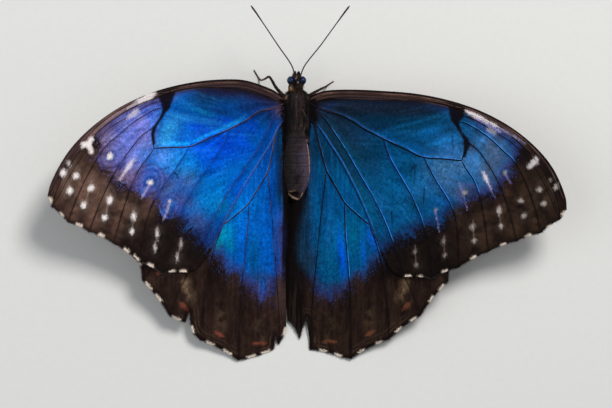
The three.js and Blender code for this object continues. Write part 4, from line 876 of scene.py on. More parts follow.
def paint_hind(side, f):
    u, v, cell = f["u"], f["v"], f["cell"]
    angle = np.arctan2(v - 2, u + 6)
    far = np.hypot(u + 6, v - 2)
    grain = fbm(u * 2.6 + 0.03 * v, v * 0.17, 53, 3)
    patch = fbm(u * 0.2, v * 0.14, 61, 3)
    fine = fbm(u * 6.5, v * 0.5, 67, 2)
    edge = inside(u, v, BLUE_HIND[side])
    rag = smooth(-1.0, 2.5, u - fold_line(v)) * 0.85 + 0.15
    edge = edge + rag * (3.4 * (fbm(u * 1.3 + 0.05 * v, v * 0.14, 57, 3) - 0.5) + 1.4 * (fbm(u * 0.7, v * 0.7, 59, 2) - 0.5))
    # As on the fore wings, the left is painted brighter and the right darker and tealer from one blue: painted light
    # and shade.
    if side < 0:
        c = mix(lin(0, 78, 176), lin(2, 98, 200), smooth(0.25, 0.75, patch))
        c = mix(c, lin(1, 58, 142), 0.8 * smooth(-19, -9, v))
        c = mix(c, lin(0, 94, 150), 0.8 * blob(f, 6.9, -34.0, 1.7, 6.0))
        c = mix(c, lin(2, 138, 196), 0.85 * blob(f, 13.6, -28.4, 2.4, 2.6, 0.5) + 0.75 * blob(f, 15.6, -30.6, 1.1, 2.4, 0.3))
        c = mix(c, lin(0, 104, 170), 0.5 * blob(f, 12.4, -33.4, 2.0, 3.2))
        c = mix(c, lin(0, 152, 158), 0.55 * blob(f, 15.4, -31.5, 1.1, 2.2, 0.3) + 0.4 * blob(f, 12.4, -31.4, 1.3, 1.6))
        c = mix(c, lin(0, 104, 214), 0.6 * blob(f, 10.2, -30, 1.3, 6) + 0.55 * blob(f, 4.4, -30, 1.4, 7))
        c = mix(c, lin(2, 114, 200), 0.75 * blob(f, 11.0, -22.5, 3.0, 4.2, 0.2) + 0.5 * blob(f, 6.4, -21.0, 2.0, 4.0))
        c = mix(c, lin(34, 70, 114), 0.75 * blob(f, 5.4, -39.2, 2.4, 2.0))
        c = mix(c, lin(36, 76, 156), 0.8 * smooth(2.6, 1.6, u) * smooth(-20, -27, v))
        c = mix(c, lin(56, 68, 140), 0.7 * smooth(1.2, 0.3, u) * smooth(-20, -30, v))
        c = mix(c, lin(62, 62, 116), 0.4 * smooth(1.8, 1.0, u) * smooth(-34, -38, v))
        # darker along the inner edge beside the body: painted shadow of the body
        c = mix(c, lin(6, 50, 88), 0.75 * smooth(3.6, 1.2, u) * smooth(-25, -19, v))
        c = mix(c, lin(6, 34, 56), 0.9 * smooth(1.9, 0.6, u) * smooth(-25, -19, v))
        c = mix(c, lin(14, 10, 12), 0.95 * smooth(0.35, -0.15, u) * smooth(-38, -34, v))
        c = mix(c, lin(66, 60, 104), 0.85 * smooth(3.6, 0.4, edge) * smooth(-37, -41, v) * smooth(1.6, 2.8, u))
        c = mix(c, lin(50, 78, 150), 0.7 * smooth(3.0, 0.4, edge) * smooth(8.5, 10.5, u))
        c = gain(c, clamp(blob(f, 14.5, -22.5, 3.6, 4.0) + 0.5 * blob(f, 14, -28.5, 2.5, 2.5), 0, 1), 0.8, 1.5, 1.22)
        c = gain(c, clamp(blob(f, 9.5, -22.5, 2.8, 5.0) + 0.5 * blob(f, 9.4, -28.6, 2.5, 3.0), 0, 1), 0.7, 1.38, 1.4)
        c = mix(c, lin(14, 122, 192), 0.5 * blob(f, 15.6, -23.6, 2.4, 2.4, 0.4))
        c = mix(c, lin(46, 46, 78), 0.5 * blob(f, 9.8, -38.2, 2.4, 1.4, 0.5) + 0.45 * blob(f, 14.6, -35.0, 1.8, 1.4, 0.9))
        shade, shine = lin(0, 48, 128), lin(24, 134, 226)
    else:
        c = mix(lin(2, 70, 122), lin(2, 88, 142), smooth(0.25, 0.75, patch))
        c = mix(c, lin(4, 54, 88), 0.85 * smooth(-19, -9, v))
        c = mix(c, lin(10, 86, 138), 0.6 * blob(f, 14.4, -21.5, 3.2, 3.6))
        c = mix(c, lin(0, 92, 128), 0.7 * blob(f, 10.6, -29, 1.6, 5.0) + 0.5 * blob(f, 4.8, -36, 1.6, 5))
        c = mix(c, lin(0, 84, 216), 0.9 * blob(f, 7.9, -34.6, 0.9, 5.2, 0.13))
        c = mix(c, lin(14, 86, 200), 0.8 * blob(f, 13.0, -33.4, 0.5, 3.0, 0.12) + 0.8 * blob(f, 15.2, -30.4, 0.9, 2.8, 0.42))
        c = mix(c, lin(20, 92, 160), 0.45 * blob(f, 4.6, -29, 1.2, 6))
        c = mix(c, lin(18, 62, 104), 0.8 * smooth(1.5, 0.2, u))
        c = mix(c, lin(38, 52, 84), 0.7 * blob(f, 5.2, -42.2, 2.4, 1.6))
        c = mix(c, lin(16, 38, 54), 0.9 * smooth(0.6, -1.2, u))
        c = mix(c, lin(8, 34, 54), 0.8 * blob(f, 0.9, -8.0, 1.7, 3.8) + 0.45 * blob(f, 4.2, -11.0, 2.0, 3.4))
        c = mix(c, lin(30, 46, 62), 0.7 * blob(f, 0.4, -36.0, 1.8, 3.4))
        c = mix(c, lin(50, 48, 96), 0.8 * smooth(3.0, 0.3, edge) * smooth(-38, -41, v))
        c = mix(c, lin(40, 60, 124), 0.6 * smooth(2.4, 0.3, edge) * smooth(9, 11, u))
        c = gain(c, smooth(3.5, 6.5, u) * smooth(-16, -20, v) * smooth(-37, -32, v), 0.9, 1.3, 1.28)
        shade, shine = lin(0, 40, 76), lin(8, 112, 186)
    c = mix(c, shade, 0.25 * smooth(0.3, 0.0, cell) + 0.32 * smooth(0.55, 0.2, grain))
    c = mix(c, shine, 0.3 * smooth(0.52, 0.9, grain) * smooth(0.2, 0.8, cell))
    c = c * (0.82 + 0.36 * fine)[..., None]
    worn = smooth(0.5, 0.78, fbm(u * 1.5, v * 2.4, 87, 3)) * smooth(-14, -24, v)
    c = c * (1 - 0.34 * worn)[..., None]
    light, mid, line, deep = (lin(50, 35, 29), lin(31, 20, 17), lin(15, 9, 9), lin(11, 6, 6)) if side < 0 else (lin(44, 31, 25), lin(27, 17, 14), lin(12, 8, 7), lin(9, 5, 5))
    streak = fbm(u * 2.2, v * 0.2, 71, 3)
    k = mix(mid, light, 0.5 * smooth(0.35, 0.75, streak) * smooth(0, 1.2, f["rim"]) + 0.4 * smooth(0.4, 0.7, fbm(u * 0.8, v * 0.5, 73, 3)))
    k = mix(k, deep, 0.5 * smooth(0.75, 1.0, cell) * smooth(-36, -44, v))
    k = mix(k, line, 0.6 * smooth(0.16, 0.0, cell))
    k = mix(k, deep, 0.75 * blob(f, 16.5, -38.5, 2.2, 6, 0.25) + 0.5 * blob(f, 9.5, -46, 1.5, 4))
    k = mix(k, deep, 0.6 * smooth(1.4, 0.3, f["rim"]))
    # the border darkened where the fore wing lies over it: painted shadow
    k = mix(k, deep, 0.8 * smooth(19, 23, u) * smooth(-39.5, -36, v))
    if side > 0:
        k = mix(k, deep, 0.9 * smooth(16, 19, u) * smooth(32, 29, u) * smooth(-41, -38, v))
    if side < 0:
        k = mix(k, lin(60, 45, 44), 0.7 * smooth(2.0, 1.0, u) * smooth(-34, -38, v) * smooth(-50, -44, v))
        k = mix(k, lin(11, 8, 9), 0.9 * smooth(0.4, 0.15, u) * smooth(-40, -34, v))
    # pale streaks and rust marks before the rim, one to a cell
    for (a, b), (e, g), st in (((23.2, -40.8), (21.8, -44.2), 0.62), ((14.9, -47.6), (14.4, -51.4), 0.26), ((29.6, -34.5), (29.2, -37.5), 0.3), ((5.4, -50.5), (5.2, -53.8), 0.2)):
        k = mix(k, lin(122, 100, 80) if side < 0 else lin(104, 84, 62), st * smooth(-1.7, 0.9, stroke(u, v, [[a, b], [e, g]], 0.7, 0.25)) * smooth(0.2, 0.8, fbm(u * 1.1, v * 0.8, 77, 3)) * 1.2)
    for (a, b), w, ln, lean in (((29.4, -37.9), 0.42, 0.62, 0.5), ((23.4, -45.9), 0.5, 1.1, -0.8), ((15.0, -52.5), 0.95, 0.42, 0.5), ((5.2, -54.8), 0.9, 0.22, 0.0)):
        sd = oval(u, v, (a, b), w, ln, lean) + 0.6 * (fbm(u * 1.6, v * 1.6, 79, 2) - 0.5)
        k = mix(k, lin(118, 62, 46) if side < 0 else lin(102, 60, 42), 0.74 * smooth(-0.4, 0.4, sd))
    torn = smooth(0.35, 0.65, fbm(u * 0.7 + 5, v * 0.7, 75, 2)) * smooth(-42, -50, v)
    k = mix(k, lin(92, 72, 58), torn * (0.34 * bump(f["rim"], 1.1, 0.16) + 0.2 * bump(f["rim"], 1.9, 0.16)))
    k = mix(k, lin(13, 9, 8), 0.4 * bump(f["rim"], 1.5, 0.2) * torn)
    k = k * (0.78 + 0.44 * fbm(u * 1.5, v * 1.1, 83, 2))[..., None]
    folded = smooth(0.1, -0.8, u - fold_line(v))
    if side > 0:
        k = mix(k, mix(lin(11, 7, 6), lin(34, 25, 20), smooth(0.4, 0.8, streak) * smooth(-30, -48, v)), folded)
    k = mix(k, lin(12, 8, 9), 0.9 * smooth(6, 0, -v - 8) * smooth(3, 0, u) + 0.85 * smooth(0.4, -0.2, u) * smooth(-44, -38, v))
    spot = dashes(f, HIND_DASHES + ([[-1.0, -52.0]] if side < 0 else []), 1.05 if side < 0 else 0.88, 0.26 if side < 0 else 0.2)
    return dict(tint=c, dark=costa_bands(f, k, side, 1.2), edge=edge, spot=spot, pale=np.zeros(u.shape + (3,)) + lin(238, 220, 202), pstr=np.ones(u.shape), rag=rag)


def paint_under(kind, side, f):
    """The hidden side: brown with pale bars, yellow-ringed eyespots and a rusty line before the rim."""
    u, v, cell, rim = f["u"], f["v"], f["cell"], f["rim"]
    rough = fbm(u * 0.9, v * 0.9, 91, 3)
    k = mix(lin(66, 46, 36), lin(96, 70, 54), smooth(0.25, 0.8, rough))
    k = mix(k, lin(44, 30, 25), 0.6 * smooth(0.2, 0.0, cell))
    wave = 0.8 * (fbm(u * 0.3, v * 0.3, 95, 2) - 0.5)
    for at, wide, col, amt in ((1.5, 0.22, lin(206, 188, 158), 0.8), (2.5, 0.42, lin(168, 84, 44), 0.85), (3.6, 0.3, lin(214, 200, 172), 0.65), (0.5, 0.5, lin(40, 28, 24), 0.7)):
        k = mix(k, col, amt * bump(rim + wave, at, wide))
    if kind == "fore":
        eyes = [((43.6, -15.2), 2.5), ((39.4, -17.8), 1.2), ((33.7, -20.9), 3.3), ((28.1, -26.5), 2.7)]
        bars = [([[7, 0.5], [8.5, -4.5]], 0.55), ([[14, 1.0], [16.5, -8.0]], 0.75), ([[21.5, 1.0], [24.5, -11.5]], 0.9), ([[35, -1], [38, -5]], 0.9)]
    else:
        eyes = [((24.5, -20.5), 3.3), ((22.0, -34.5), 2.1), ((16.4, -39.5), 2.6), ((9.3, -43.0), 3.2)]
        bars = [([[6, 0], [2.5, -12]], 0.6), ([[15, -3], [8, -17]], 0.9), ([[24, -11], [13, -27], [8, -33]], 0.8), ([[4, -20], [3.5, -40]], 0.5)]
    for pts, r in bars:
        k = mix(k, lin(178, 158, 132), 0.62 * smooth(-0.25, 0.3, stroke(u, v, pts, r, r * 0.6) + wave * 0.6))
    eye = np.full(u.shape, 9.0)
    for (a, b), r in eyes:
        eye = np.minimum(eye, np.hypot(u - a, (v - b) * 0.92) / r)
    return dict(under=k, eye=eye)


# --------------------------------------------------------------- wing looks
def wing_top_material(kind, side):
    s = Shader("wing_top_%s_%s" % (kind, "right" if side > 0 else "left"), IOR=1.45)
    s.bsdf.inputs["Specular IOR Level"].default_value = 0.04
    flow = s.coords((1.0, 0.42, 1.0))
    scales = s.node("ShaderNodeTexVoronoi", feature="F1")
    s.put(scales.inputs["Vector"], flow)
    scales.inputs["Scale"].default_value = 1000 / 0.13
    each, dist = scales.outputs["Color"], scales.outputs["Distance"]
    split = s.node("ShaderNodeSeparateColor")
    s.put(split.inputs[0], each)
    r1, r2 = split.outputs[0], split.outputs[1]
    fine = s.noise(0.6, 4, 0.7, s.coords((1.0, 0.6, 1.0)))
    broad = s.noise(2.6, 3, 0.6)
    # the blue gives out scale by scale along its edge
    loose = s.math("ADD", s.math("MULTIPLY_ADD", fine, 1.6, -0.8), s.math("MULTIPLY_ADD", r1, 1.7, -0.85))
    e = s.math("ADD", s.attr("edge"), s.math("MULTIPLY", loose, s.attr("rag")))
    blue = s.ramp(e, -1.25, 1.25)
    dusted = s.math("MULTIPLY", s.ramp(r2, 0.86, 0.95), s.ramp(s.attr("edge"), -4.0, 0.0))
    blue = s.math("MAXIMUM", blue, s.math("MULTIPLY", s.math("MULTIPLY", dusted, 0.6), s.attr("rag")))
    tint = s.attr("tint", True)
    tint = s.mix(s.ramp(fine, 0.48, 0.75, 0.0, 0.5), tint, s.mix(1.0, tint, (1.7, 1.75, 1.6, 1), "MULTIPLY"))
    tint = s.mix(s.ramp(fine, 0.5, 0.25, 0.0, 0.6), tint, s.mix(1.0, tint, (0.4, 0.42, 0.55, 1), "MULTIPLY"))
    tint = s.mix(s.ramp(r1, 0.5, 1.0, 0.0, 0.5), tint, s.mix(1.0, tint, (0.35, 0.38, 0.5, 1), "MULTIPLY"))
    tint = s.mix(s.ramp(r2, 0.75, 1.0, 0.0, 0.6), tint, s.mix(1.0, tint, (2.2, 1.7, 1.5, 1), "MULTIPLY"))
    dark = s.attr("dark", True)
    dark = s.mix(s.ramp(r2, 0.4, 1.0, 0.0, 0.5), dark, s.mix(1.0, dark, (1.9, 1.85, 1.8, 1), "MULTIPLY"))
    dark = s.mix(s.ramp(broad, 0.4, 0.7, 0.0, 0.35), dark, s.mix(1.0, dark, (0.55, 0.52, 0.5, 1), "MULTIPLY"))
    base = s.mix(blue, dark, tint)
    p = s.math("ADD", s.attr("spot"), s.math("MULTIPLY_ADD", fine, 0.7, -0.35))
    p = s.math("ADD", p, s.math("MULTIPLY_ADD", r1, 0.4, -0.2))
    pale = s.math("MULTIPLY", s.ramp(p, -0.42, 0.4), s.attr("pstr"))
    base = s.mix(pale, base, s.mix(s.ramp(r2, 0.2, 1.0, 0.0, 0.2), s.attr("pale", True), (0.36, 0.3, 0.28, 1)))
    s.set("Base Color", base)
    s.set("Metallic", s.math("MULTIPLY", s.math("MULTIPLY", blue, 0.5), s.math("SUBTRACT", 1.0, pale)))
    rough = s.math("MULTIPLY_ADD", blue, -0.3, 0.74)
    s.set("Roughness", s.math("ADD", rough, s.math("MULTIPLY_ADD", r2, 0.16, -0.08)))
    h = s.math("ADD", s.math("MULTIPLY", dist, -0.35), s.math("MULTIPLY", fine, 0.9))
    s.bump(s.math("ADD", h, s.math("MULTIPLY", s.noise(0.3, 2, 0.5, s.coords((1.0, 0.08, 1.0))), 0.6)), 0.42, 0.07)
    return s.mat


def wing_under_material(kind, side):
    s = Shader("wing_under_%s_%s" % (kind, "right" if side > 0 else "left"), IOR=1.45, Roughness=0.72)
    scales = s.node("ShaderNodeTexVoronoi", feature="F1")
    s.put(scales.inputs["Vector"], s.coords((1.0, 0.42, 1.0)))
    scales.inputs["Scale"].default_value = 1000 / 0.14
    split = s.node("ShaderNodeSeparateColor")
    s.put(split.inputs[0], scales.outputs["Color"])
    fine = s.noise(0.7, 3, 0.6)
    base = s.attr("under", True)
    base = s.mix(s.ramp(fine, 0.35, 0.7, 0.0, 0.4), base, s.mix(1.0, base, (0.5, 0.48, 0.46, 1), "MULTIPLY"))
    base = s.mix(s.ramp(split.outputs[1], 0.6, 1.0, 0.0, 0.5), base, s.mix(1.0, base, (1.6, 1.5, 1.4, 1), "MULTIPLY"))
    q = s.math("ADD", s.attr("eye"), s.math("MULTIPLY_ADD", fine, 0.12, -0.06))
    for hi, lo, col in ((1.12, 1.02, lin(150, 120, 92)), (1.0, 0.92, lin(206, 166, 84)), (0.8, 0.72, lin(24, 17, 16)), (0.52, 0.44, lin(104, 62, 50)), (0.34, 0.26, lin(226, 216, 198)), (0.16, 0.1, lin(60, 70, 120))):
        base = s.mix(s.ramp(q, lo, hi, 1.0, 0.0), base, tuple(col) + (1,))
    s.set("Base Color", base)
    s.bump(s.math("ADD", s.math("MULTIPLY", scales.outputs["Distance"], -0.4), fine), 0.35, 0.06)
    return s.mat


def vein_material(side):
    s = Shader("vein_%s" % ("right" if side > 0 else "left"), IOR=1.45)
    s.bsdf.inputs["Specular IOR Level"].default_value = 0.05
    fine = s.noise(0.35, 3, 0.6)
    base = s.attr("tint", True)
    base = s.mix(s.ramp(fine, 0.4, 0.7, 0.0, 0.6), base, s.mix(1.0, base, (2.0, 1.9, 1.8, 1), "MULTIPLY"))
    s.set("Base Color", base)
    s.set("Roughness", s.math("MULTIPLY_ADD", fine, 0.25, 0.6))
    s.bump(fine, 0.4, 0.03)
    return s.mat


def hair_material(name, rough=0.55, sheen=0.25):
    s = Shader(name, IOR=1.5)
    s.bsdf.inputs["Specular IOR Level"].default_value = 0.06
    s.bsdf.inputs["Sheen Weight"].default_value = sheen
    s.bsdf.inputs["Sheen Roughness"].default_value = 0.45
    base = s.attr("hair", True)
    fine = s.noise(0.12, 2, 0.6)
    base = s.mix(s.ramp(fine, 0.4, 0.75, 0.0, 0.45), base, s.mix(1.0, base, (1.7, 1.6, 1.5, 1), "MULTIPLY"))
    s.set("Base Color", base)
    s.set("Roughness", s.math("MULTIPLY_ADD", fine, 0.2, rough - 0.1))
    s.bump(fine, 0.25, 0.01)
    return s.mat


THIN = 0.07        # half of a wing's thickness
SHIFT = {"fore": -0.18, "hind": 0.18}


def billow(kind, f):
    d = f["d1"]
    h = -0.09 * (1 - np.exp(-(d / 0.7) ** 2)) + 0.07 * smooth(0.5, 1.0, f["cell"]) + 0.16 * (fbm(f["u"] * 0.09, f["v"] * 0.09, 7, 2) - 0.5)
    return h * smooth(0, 4, f["costa"] + 1.0)


def wing_uv(kind, u, v, top):
    if kind == "fore":
        a, b = (u + 2.2) / 61.6, (v + 42.6) / 46.6
    else:
        a, b = (v + 60.0) / 62.0, (u + 8.6) / 45.0
    return np.stack([0.01 + 0.98 * a, (0.51 if top else 0.01) + 0.48 * b], -1)


def build_wing(kind, side):
    n, m = 220, 200
    U, Vv = wing_grid(kind, side, n, m)
    u, v = U.ravel(), Vv.ravel()
    f = wing_fields(kind, side, u, v)
    look = paint_fore(side, f) if kind == "fore" else paint_hind(side, f)
    under = paint_under(kind, side, f)
    P, nn, du, dv = sheet_frame(kind, side, u, v)
    mid = SHIFT[kind] + billow(kind, f)
    W = n + 1
    idx = np.arange((n + 1) * (m + 1)).reshape(m + 1, n + 1)
    half = idx[::2, ::2]
    low = np.arange(half.size).reshape(half.shape) + idx.size
    top = P + nn * (mid + THIN)[:, None]
    bot = (P + nn * (mid - THIN)[:, None])[half.ravel()]
    verts = np.vstack([top, bot])
    flip = side < 0

    def quads(g, up):
        q = np.stack([g[:-1, :-1], g[:-1, 1:], g[1:, 1:], g[1:, :-1]], -1).reshape(-1, 4)
        return q[:, ::-1] if up else q
    # which way round is up is read from the first faces
    q = quads(idx, False)
    a, b, c = top[q[:, 0]], top[q[:, 1]], top[q[:, 2]]
    facing = np.median(np.cross(b - a, c - a)[:, 2])
    up = facing < 0
    Q1, Q2 = quads(idx, up), quads(low, not up)
    # the rim: two upper steps to each lower one
    T, Tuv = [], []
    uvt = wing_uv(kind, u, v, True)
    for hi, lo_, rev in ((idx[0], low[0], False), (idx[:, -1], low[:, -1], False), (idx[-1][::-1], low[-1][::-1], False), (idx[:, 0][::-1], low[:, 0][::-1], False)):
        A, B, C = hi[:-1:2], hi[1::2], hi[2::2]
        D, E = lo_[:-1], lo_[1:]
        rows = [np.stack([A, D, B], -1), np.stack([B, D, E], -1), np.stack([B, E, C], -1)]
        T.append(np.concatenate(rows))
    T = np.concatenate(T)
    if up:
        T = T[:, ::-1]
    uv_low = uvt[half.ravel()]
    uv_all_top = np.vstack([uvt, uv_low])
    uv_under = wing_uv(kind, u, v, False)[half.ravel()]
    corner = np.concatenate([uvt[Q1.ravel()], uv_under[(Q2 - idx.size).ravel()], uv_all_top[T.ravel()]])
    which = np.concatenate([np.zeros(len(Q1)), np.ones(len(Q2)), np.zeros(len(T))])
    both = lambda x: np.concatenate([x, x[half.ravel()]])
    attrs = {k: both(look[k]) for k in ("tint", "dark", "edge", "spot", "pale", "pstr", "rag")}
    attrs["under"], attrs["eye"] = both(under["under"]), both(under["eye"])
    attrs["edge"] = np.clip(attrs["edge"], -9, 9)
    name = "%swing_%s" % (kind, "right" if side > 0 else "left")
    ob = make(name + "_membrane", verts, np.vstack([Q1, Q2]), T,
              [wing_top_material(kind, side), wing_under_material(kind, side)], which, corner, attrs, (name,))
    return ob


def build_veins(kind, side):
    veins = FORE_VEINS if kind == "fore" else HIND_VEINS
    blue = (BLUE_FORE if kind == "fore" else BLUE_HIND)[side]
    V, Q, T, UV, COL = [], [], [], [], []
    base, total = 0, len(veins)
    quv, tuv = [], []
    jobs = [(nm, pts, 0.0) for nm, pts in veins.items()]
    glints = {("fore", 1): ("Cu", "CuA1", "CuA2", "2A", "M1", "M3"), ("hind", 1): ("Cu", "CuA1", "M3"), ("fore", -1): ("Cu",), ("hind", -1): ("Cu",)}[(kind, side)]
    jobs += [(nm, veins[nm], 0.2) for nm in glints]
    total = len(jobs)
    _, M, lead, inner, _ = wing_lines(kind, side, 240, 80)
    ring = np.vstack([lead, M[:, :2], inner[::-1]])
    for i, (nm, pts, off) in enumerate(jobs):
        k = 61
        line = spline(pts, k - 1)
        if off:
            d = unit(np.gradient(line, axis=0))
            line = line + off * np.stack([-d[:, 1], d[:, 0]], -1)
        # stop short of the rim
        r0, r1 = VEIN_SIZE.get(nm, (0.11, 0.07))
        if kind == "hind":
            line[:, 0] = np.maximum(line[:, 0], fold_line(line[:, 1]) + 0.05)
        u, v = line[:, 0], line[:, 1]
        f = wing_fields(kind, side, u, v)
        P, nn, _, _ = sheet_frame(kind, side, u, v)
        t = np.linspace(0, 1, k)
        within = np.maximum(smooth(-0.05, 0.25, inside(u, v, ring)), smooth(14, 10, np.hypot(u, v)))
        rad = r0 + (r1 - r0) * t if not off else np.full(k, 0.062)
        rad = rad * within * (1.32 if side > 0 else 1.1) * smooth(-0.02, 0.04, t) * (0.45 + 0.55 * smooth(0.0, 1.2, f["rim"])) * smooth(0.02, 0.3, f["rim"])
        P = P + nn * (SHIFT[kind] + billow(kind, f) + THIN * 0.6)[:, None]
        a, q, tr = tube(P, np.maximum(rad, 0.004), 8, up=(0, 0, 1))
        c = tube_uv(k, 8, q, tr, i, total)
        quv.append(c[:len(q) * 4])
        tuv.append(c[len(q) * 4:])
        V.append(a)
        Q.append(q + base)
        T.append(tr + base)
        base += len(a)
        e = inside(u, v, blue)
        worn = smooth(0.3, 0.7, fbm(u * 0.5 + i, v * 0.5, 13, 2))
        if side < 0:
            inb = mix(lin(30, 24, 34), lin(62, 46, 54), worn)
            if kind == "fore" and nm in ("CuA1", "CuA2"):
                inb = mix(inb, lin(4, 60, 150), 0.85)
            if kind == "fore" and nm == "2A":
                inb = mix(inb, lin(30, 50, 120), 0.7)
            if kind == "hind":
                inb = mix(lin(20, 24, 36), lin(54, 48, 58), worn)
            out = mix(lin(16, 11, 11), lin(30, 22, 19), worn)
        else:
            inb = mix(lin(7, 8, 12), lin(20, 19, 26), worn)
            out = mix(lin(8, 6, 6), lin(18, 13, 12), worn)
        if nm in ("R", "R2"):
            inb = mix(lin(28, 20, 20), lin(52, 38, 36), worn)
        if nm == "C":
            out = inb = mix(lin(52, 38, 36), lin(84, 62, 56), worn)
        col = mix(out, inb, smooth(-0.6, 0.6, e))
        look = (paint_fore if kind == "fore" else paint_hind)(side, f)
        if off:
            bright = lin(52, 138, 232) if side > 0 else lin(60, 140, 220)
            bright = mix(look["tint"], bright, (0.85 if side > 0 else 0.5) * smooth(0.25, 0.6, fbm(u * 0.6 + i, v * 0.6, 17, 2)) * smooth(0, 0.1, t) * smooth(4, 9, np.hypot(u, v)))
            col = mix(look["dark"], bright, smooth(-0.5, 1.2, e))
        if kind == "fore":
            col = mix(col, lin(10, 7, 9), 0.9 * look["bar"])
        col = mix(col, look["pale"], 0.8 * look["pstr"] * smooth(-0.15, 0.15, look["spot"]))
        COL.append(np.vstack([np.repeat(col, 8, axis=0), col[:1], col[-1:]]))
    name = "%swing_%s" % (kind, "right" if side > 0 else "left")
    return make(name + "_veins", np.vstack(V), np.vstack(Q), np.vstack(T), [vein_material(side)], None,
                np.vstack(quv + tuv), {"tint": np.vstack(COL)}, (name,))


def tufts(name, root, way, length, width, root_col, tip_col, uv, material, replaces, curl=None, seed=1, squash=0.55, side_way=None):
    """One solid tuft a row: a root ring, a middle ring and a tip, bending along curl."""
    rng = np.random.default_rng(seed)
    N = len(root)
    way = unit(way)
    ref = rng.normal(size=(N, 3)) if side_way is None else side_way
    a = unit(np.cross(way, ref))
    b = np.cross(way, a)
    length = np.broadcast_to(length, (N,))[:, None]
    width = np.broadcast_to(width, (N,))[:, None]
    curl = np.zeros((N, 3)) if curl is None else curl
    mid = root + way * length * 0.5 + curl * length * 0.25
    tip = root + way * length + curl * length
    rows = []
    for centre, r in ((root - way * length * 0.06, 0.5 * width), (mid, 0.42 * width)):
        for k in range(3):
            t = 2 * math.pi * k / 3
            rows.append(centre + r * (math.cos(t) * a + squash * math.sin(t) * b))
    rows.append(tip)
    V = np.stack(rows, 1).reshape(-1, 3)
    F = []
    for k in range(3):
        j = (k + 1) % 3
        F += [[k, j, 3 + j], [k, 3 + j, 3 + k], [3 + k, 3 + j, 6]]
    F.append([2, 1, 0])
    F = np.array(F)
    # the rings turn left-handed or right-handed together, so one test settles all
    p = V[:7]
    g = np.cross(p[F[0][1]] - p[F[0][0]], p[F[0][2]] - p[F[0][0]])
    if g @ (p[F[0][0]] - root[0]) < 0:
        F = F[:, ::-1]
    T = (F[None] + 7 * np.arange(N)[:, None, None]).reshape(-1, 3)
    off = np.array([[-1, -1], [0, -1], [1, -1], [-1, 0], [0, 0], [1, 0], [0, 1]]) * 0.0014
    UV = (uv[:, None] + off[None]).reshape(-1, 2)
    shares = np.array([0, 0, 0, 0.5, 0.5, 0.5, 1.0])[None, :, None]
    C = (root_col[:, None] * (1 - shares) + tip_col[:, None] * shares).reshape(-1, 3)
    return make(name, V, None, T, [material], None, np.clip(UV, 0.001, 0.999), {"hair": C}, replaces)


def build_fringe(kind, side, material):
    rng = np.random.default_rng(40 + (kind == "hind") * 2 + (side > 0))
    M = margin_of(kind, side)[:, :2]
    s = np.concatenate([[0], np.cumsum(np.hypot(*np.diff(M, axis=0).T))])
    N = int(s[-1] / 0.085)
    e = np.sort(rng.uniform(0, s[-1], N * 2))
    p = np.stack([np.interp(e, s, M[:, k]) for k in (0, 1)], -1)
    q = np.stack([np.interp(np.clip(e + 0.25, 0, s[-1]), s, M[:, k]) - np.interp(np.clip(e - 0.25, 0, s[-1]), s, M[:, k]) for k in (0, 1)], -1)
    q = unit(q)
    out = np.stack([q[:, 1], -q[:, 0]], -1)
    if np.median(np.sum(out * (p - np.array([10, -15])), 1)) < 0:
        out = -out
    root = p - out * rng.uniform(0.05, 0.2, (len(p), 1))
    P, nn, du, dv = sheet_frame(kind, side, root[:, 0], root[:, 1])
    lean = rng.normal(0, 0.16, len(p))
    o = out + q * lean[:, None]
    way = unit(du * o[:, :1] + dv * o[:, 1:] + nn * rng.normal(0, 0.12, (len(p), 1)))
    places = np.array(FORE_DASHES if kind == "fore" else HIND_DASHES + ([[-1.0, -52.0]] if side < 0 else []))
    near = np.min(np.hypot(p[:, None, 0] - places[None, :, 0], p[:, None, 1] - places[None, :, 1]), 1)
    wide = 0.12 if kind == "hind" else 0.0
    cream = smooth(0.98 + wide if side < 0 else 0.84 + wide, 0.75 + wide if side < 0 else 0.58 + wide, near + rng.normal(0, 0.08, len(p)))
    dark = np.broadcast_to(lin(36, 26, 23) if side < 0 else lin(24, 17, 15), (len(p), 3))
    light = lin(238, 222, 206)
    k = rng.uniform(0.6, 1.35, (len(p), 1))
    tip = mix(dark * k * 1.3, light, cream)
    base = mix(dark * k * 0.8, light * 0.85, cream)
    L = rng.uniform(0.34, 0.6, len(p)) * (1 - 0.22 * cream)
    end = np.minimum(smooth(0, 1.5, e), smooth(0, 2.0, s[-1] - e))
    L = L * (0.45 + 0.55 * end)
    P = P + nn * (SHIFT[kind] + rng.uniform(-0.05, 0.05, len(p)))[:, None]
    name = "%swing_%s" % (kind, "right" if side > 0 else "left")
    curl = -nn * 0.12
    tufts(name + "_fringe", P, way, L, rng.uniform(0.07, 0.11, len(p)), base, tip, wing_uv(kind, root[:, 0], root[:, 1], True), material, (name,), curl, 5, 0.4)


HAIR_LIMIT = {-1: [[-26, -0.8], [-22, -0.5], [-19.5, 0.0], [-17, 0.3], [-12, 0.3], [-8, 0.05], [-3, 0.1], [0, 0.2]],
              1: [[-26, -1.35], [-20.5, -1.3], [-19, -1.0], [-12, -0.7], [-9.4, -0.6], [-7.6, -0.45], [-5, -0.2], [-2, 0.25], [0, 0.5]]}


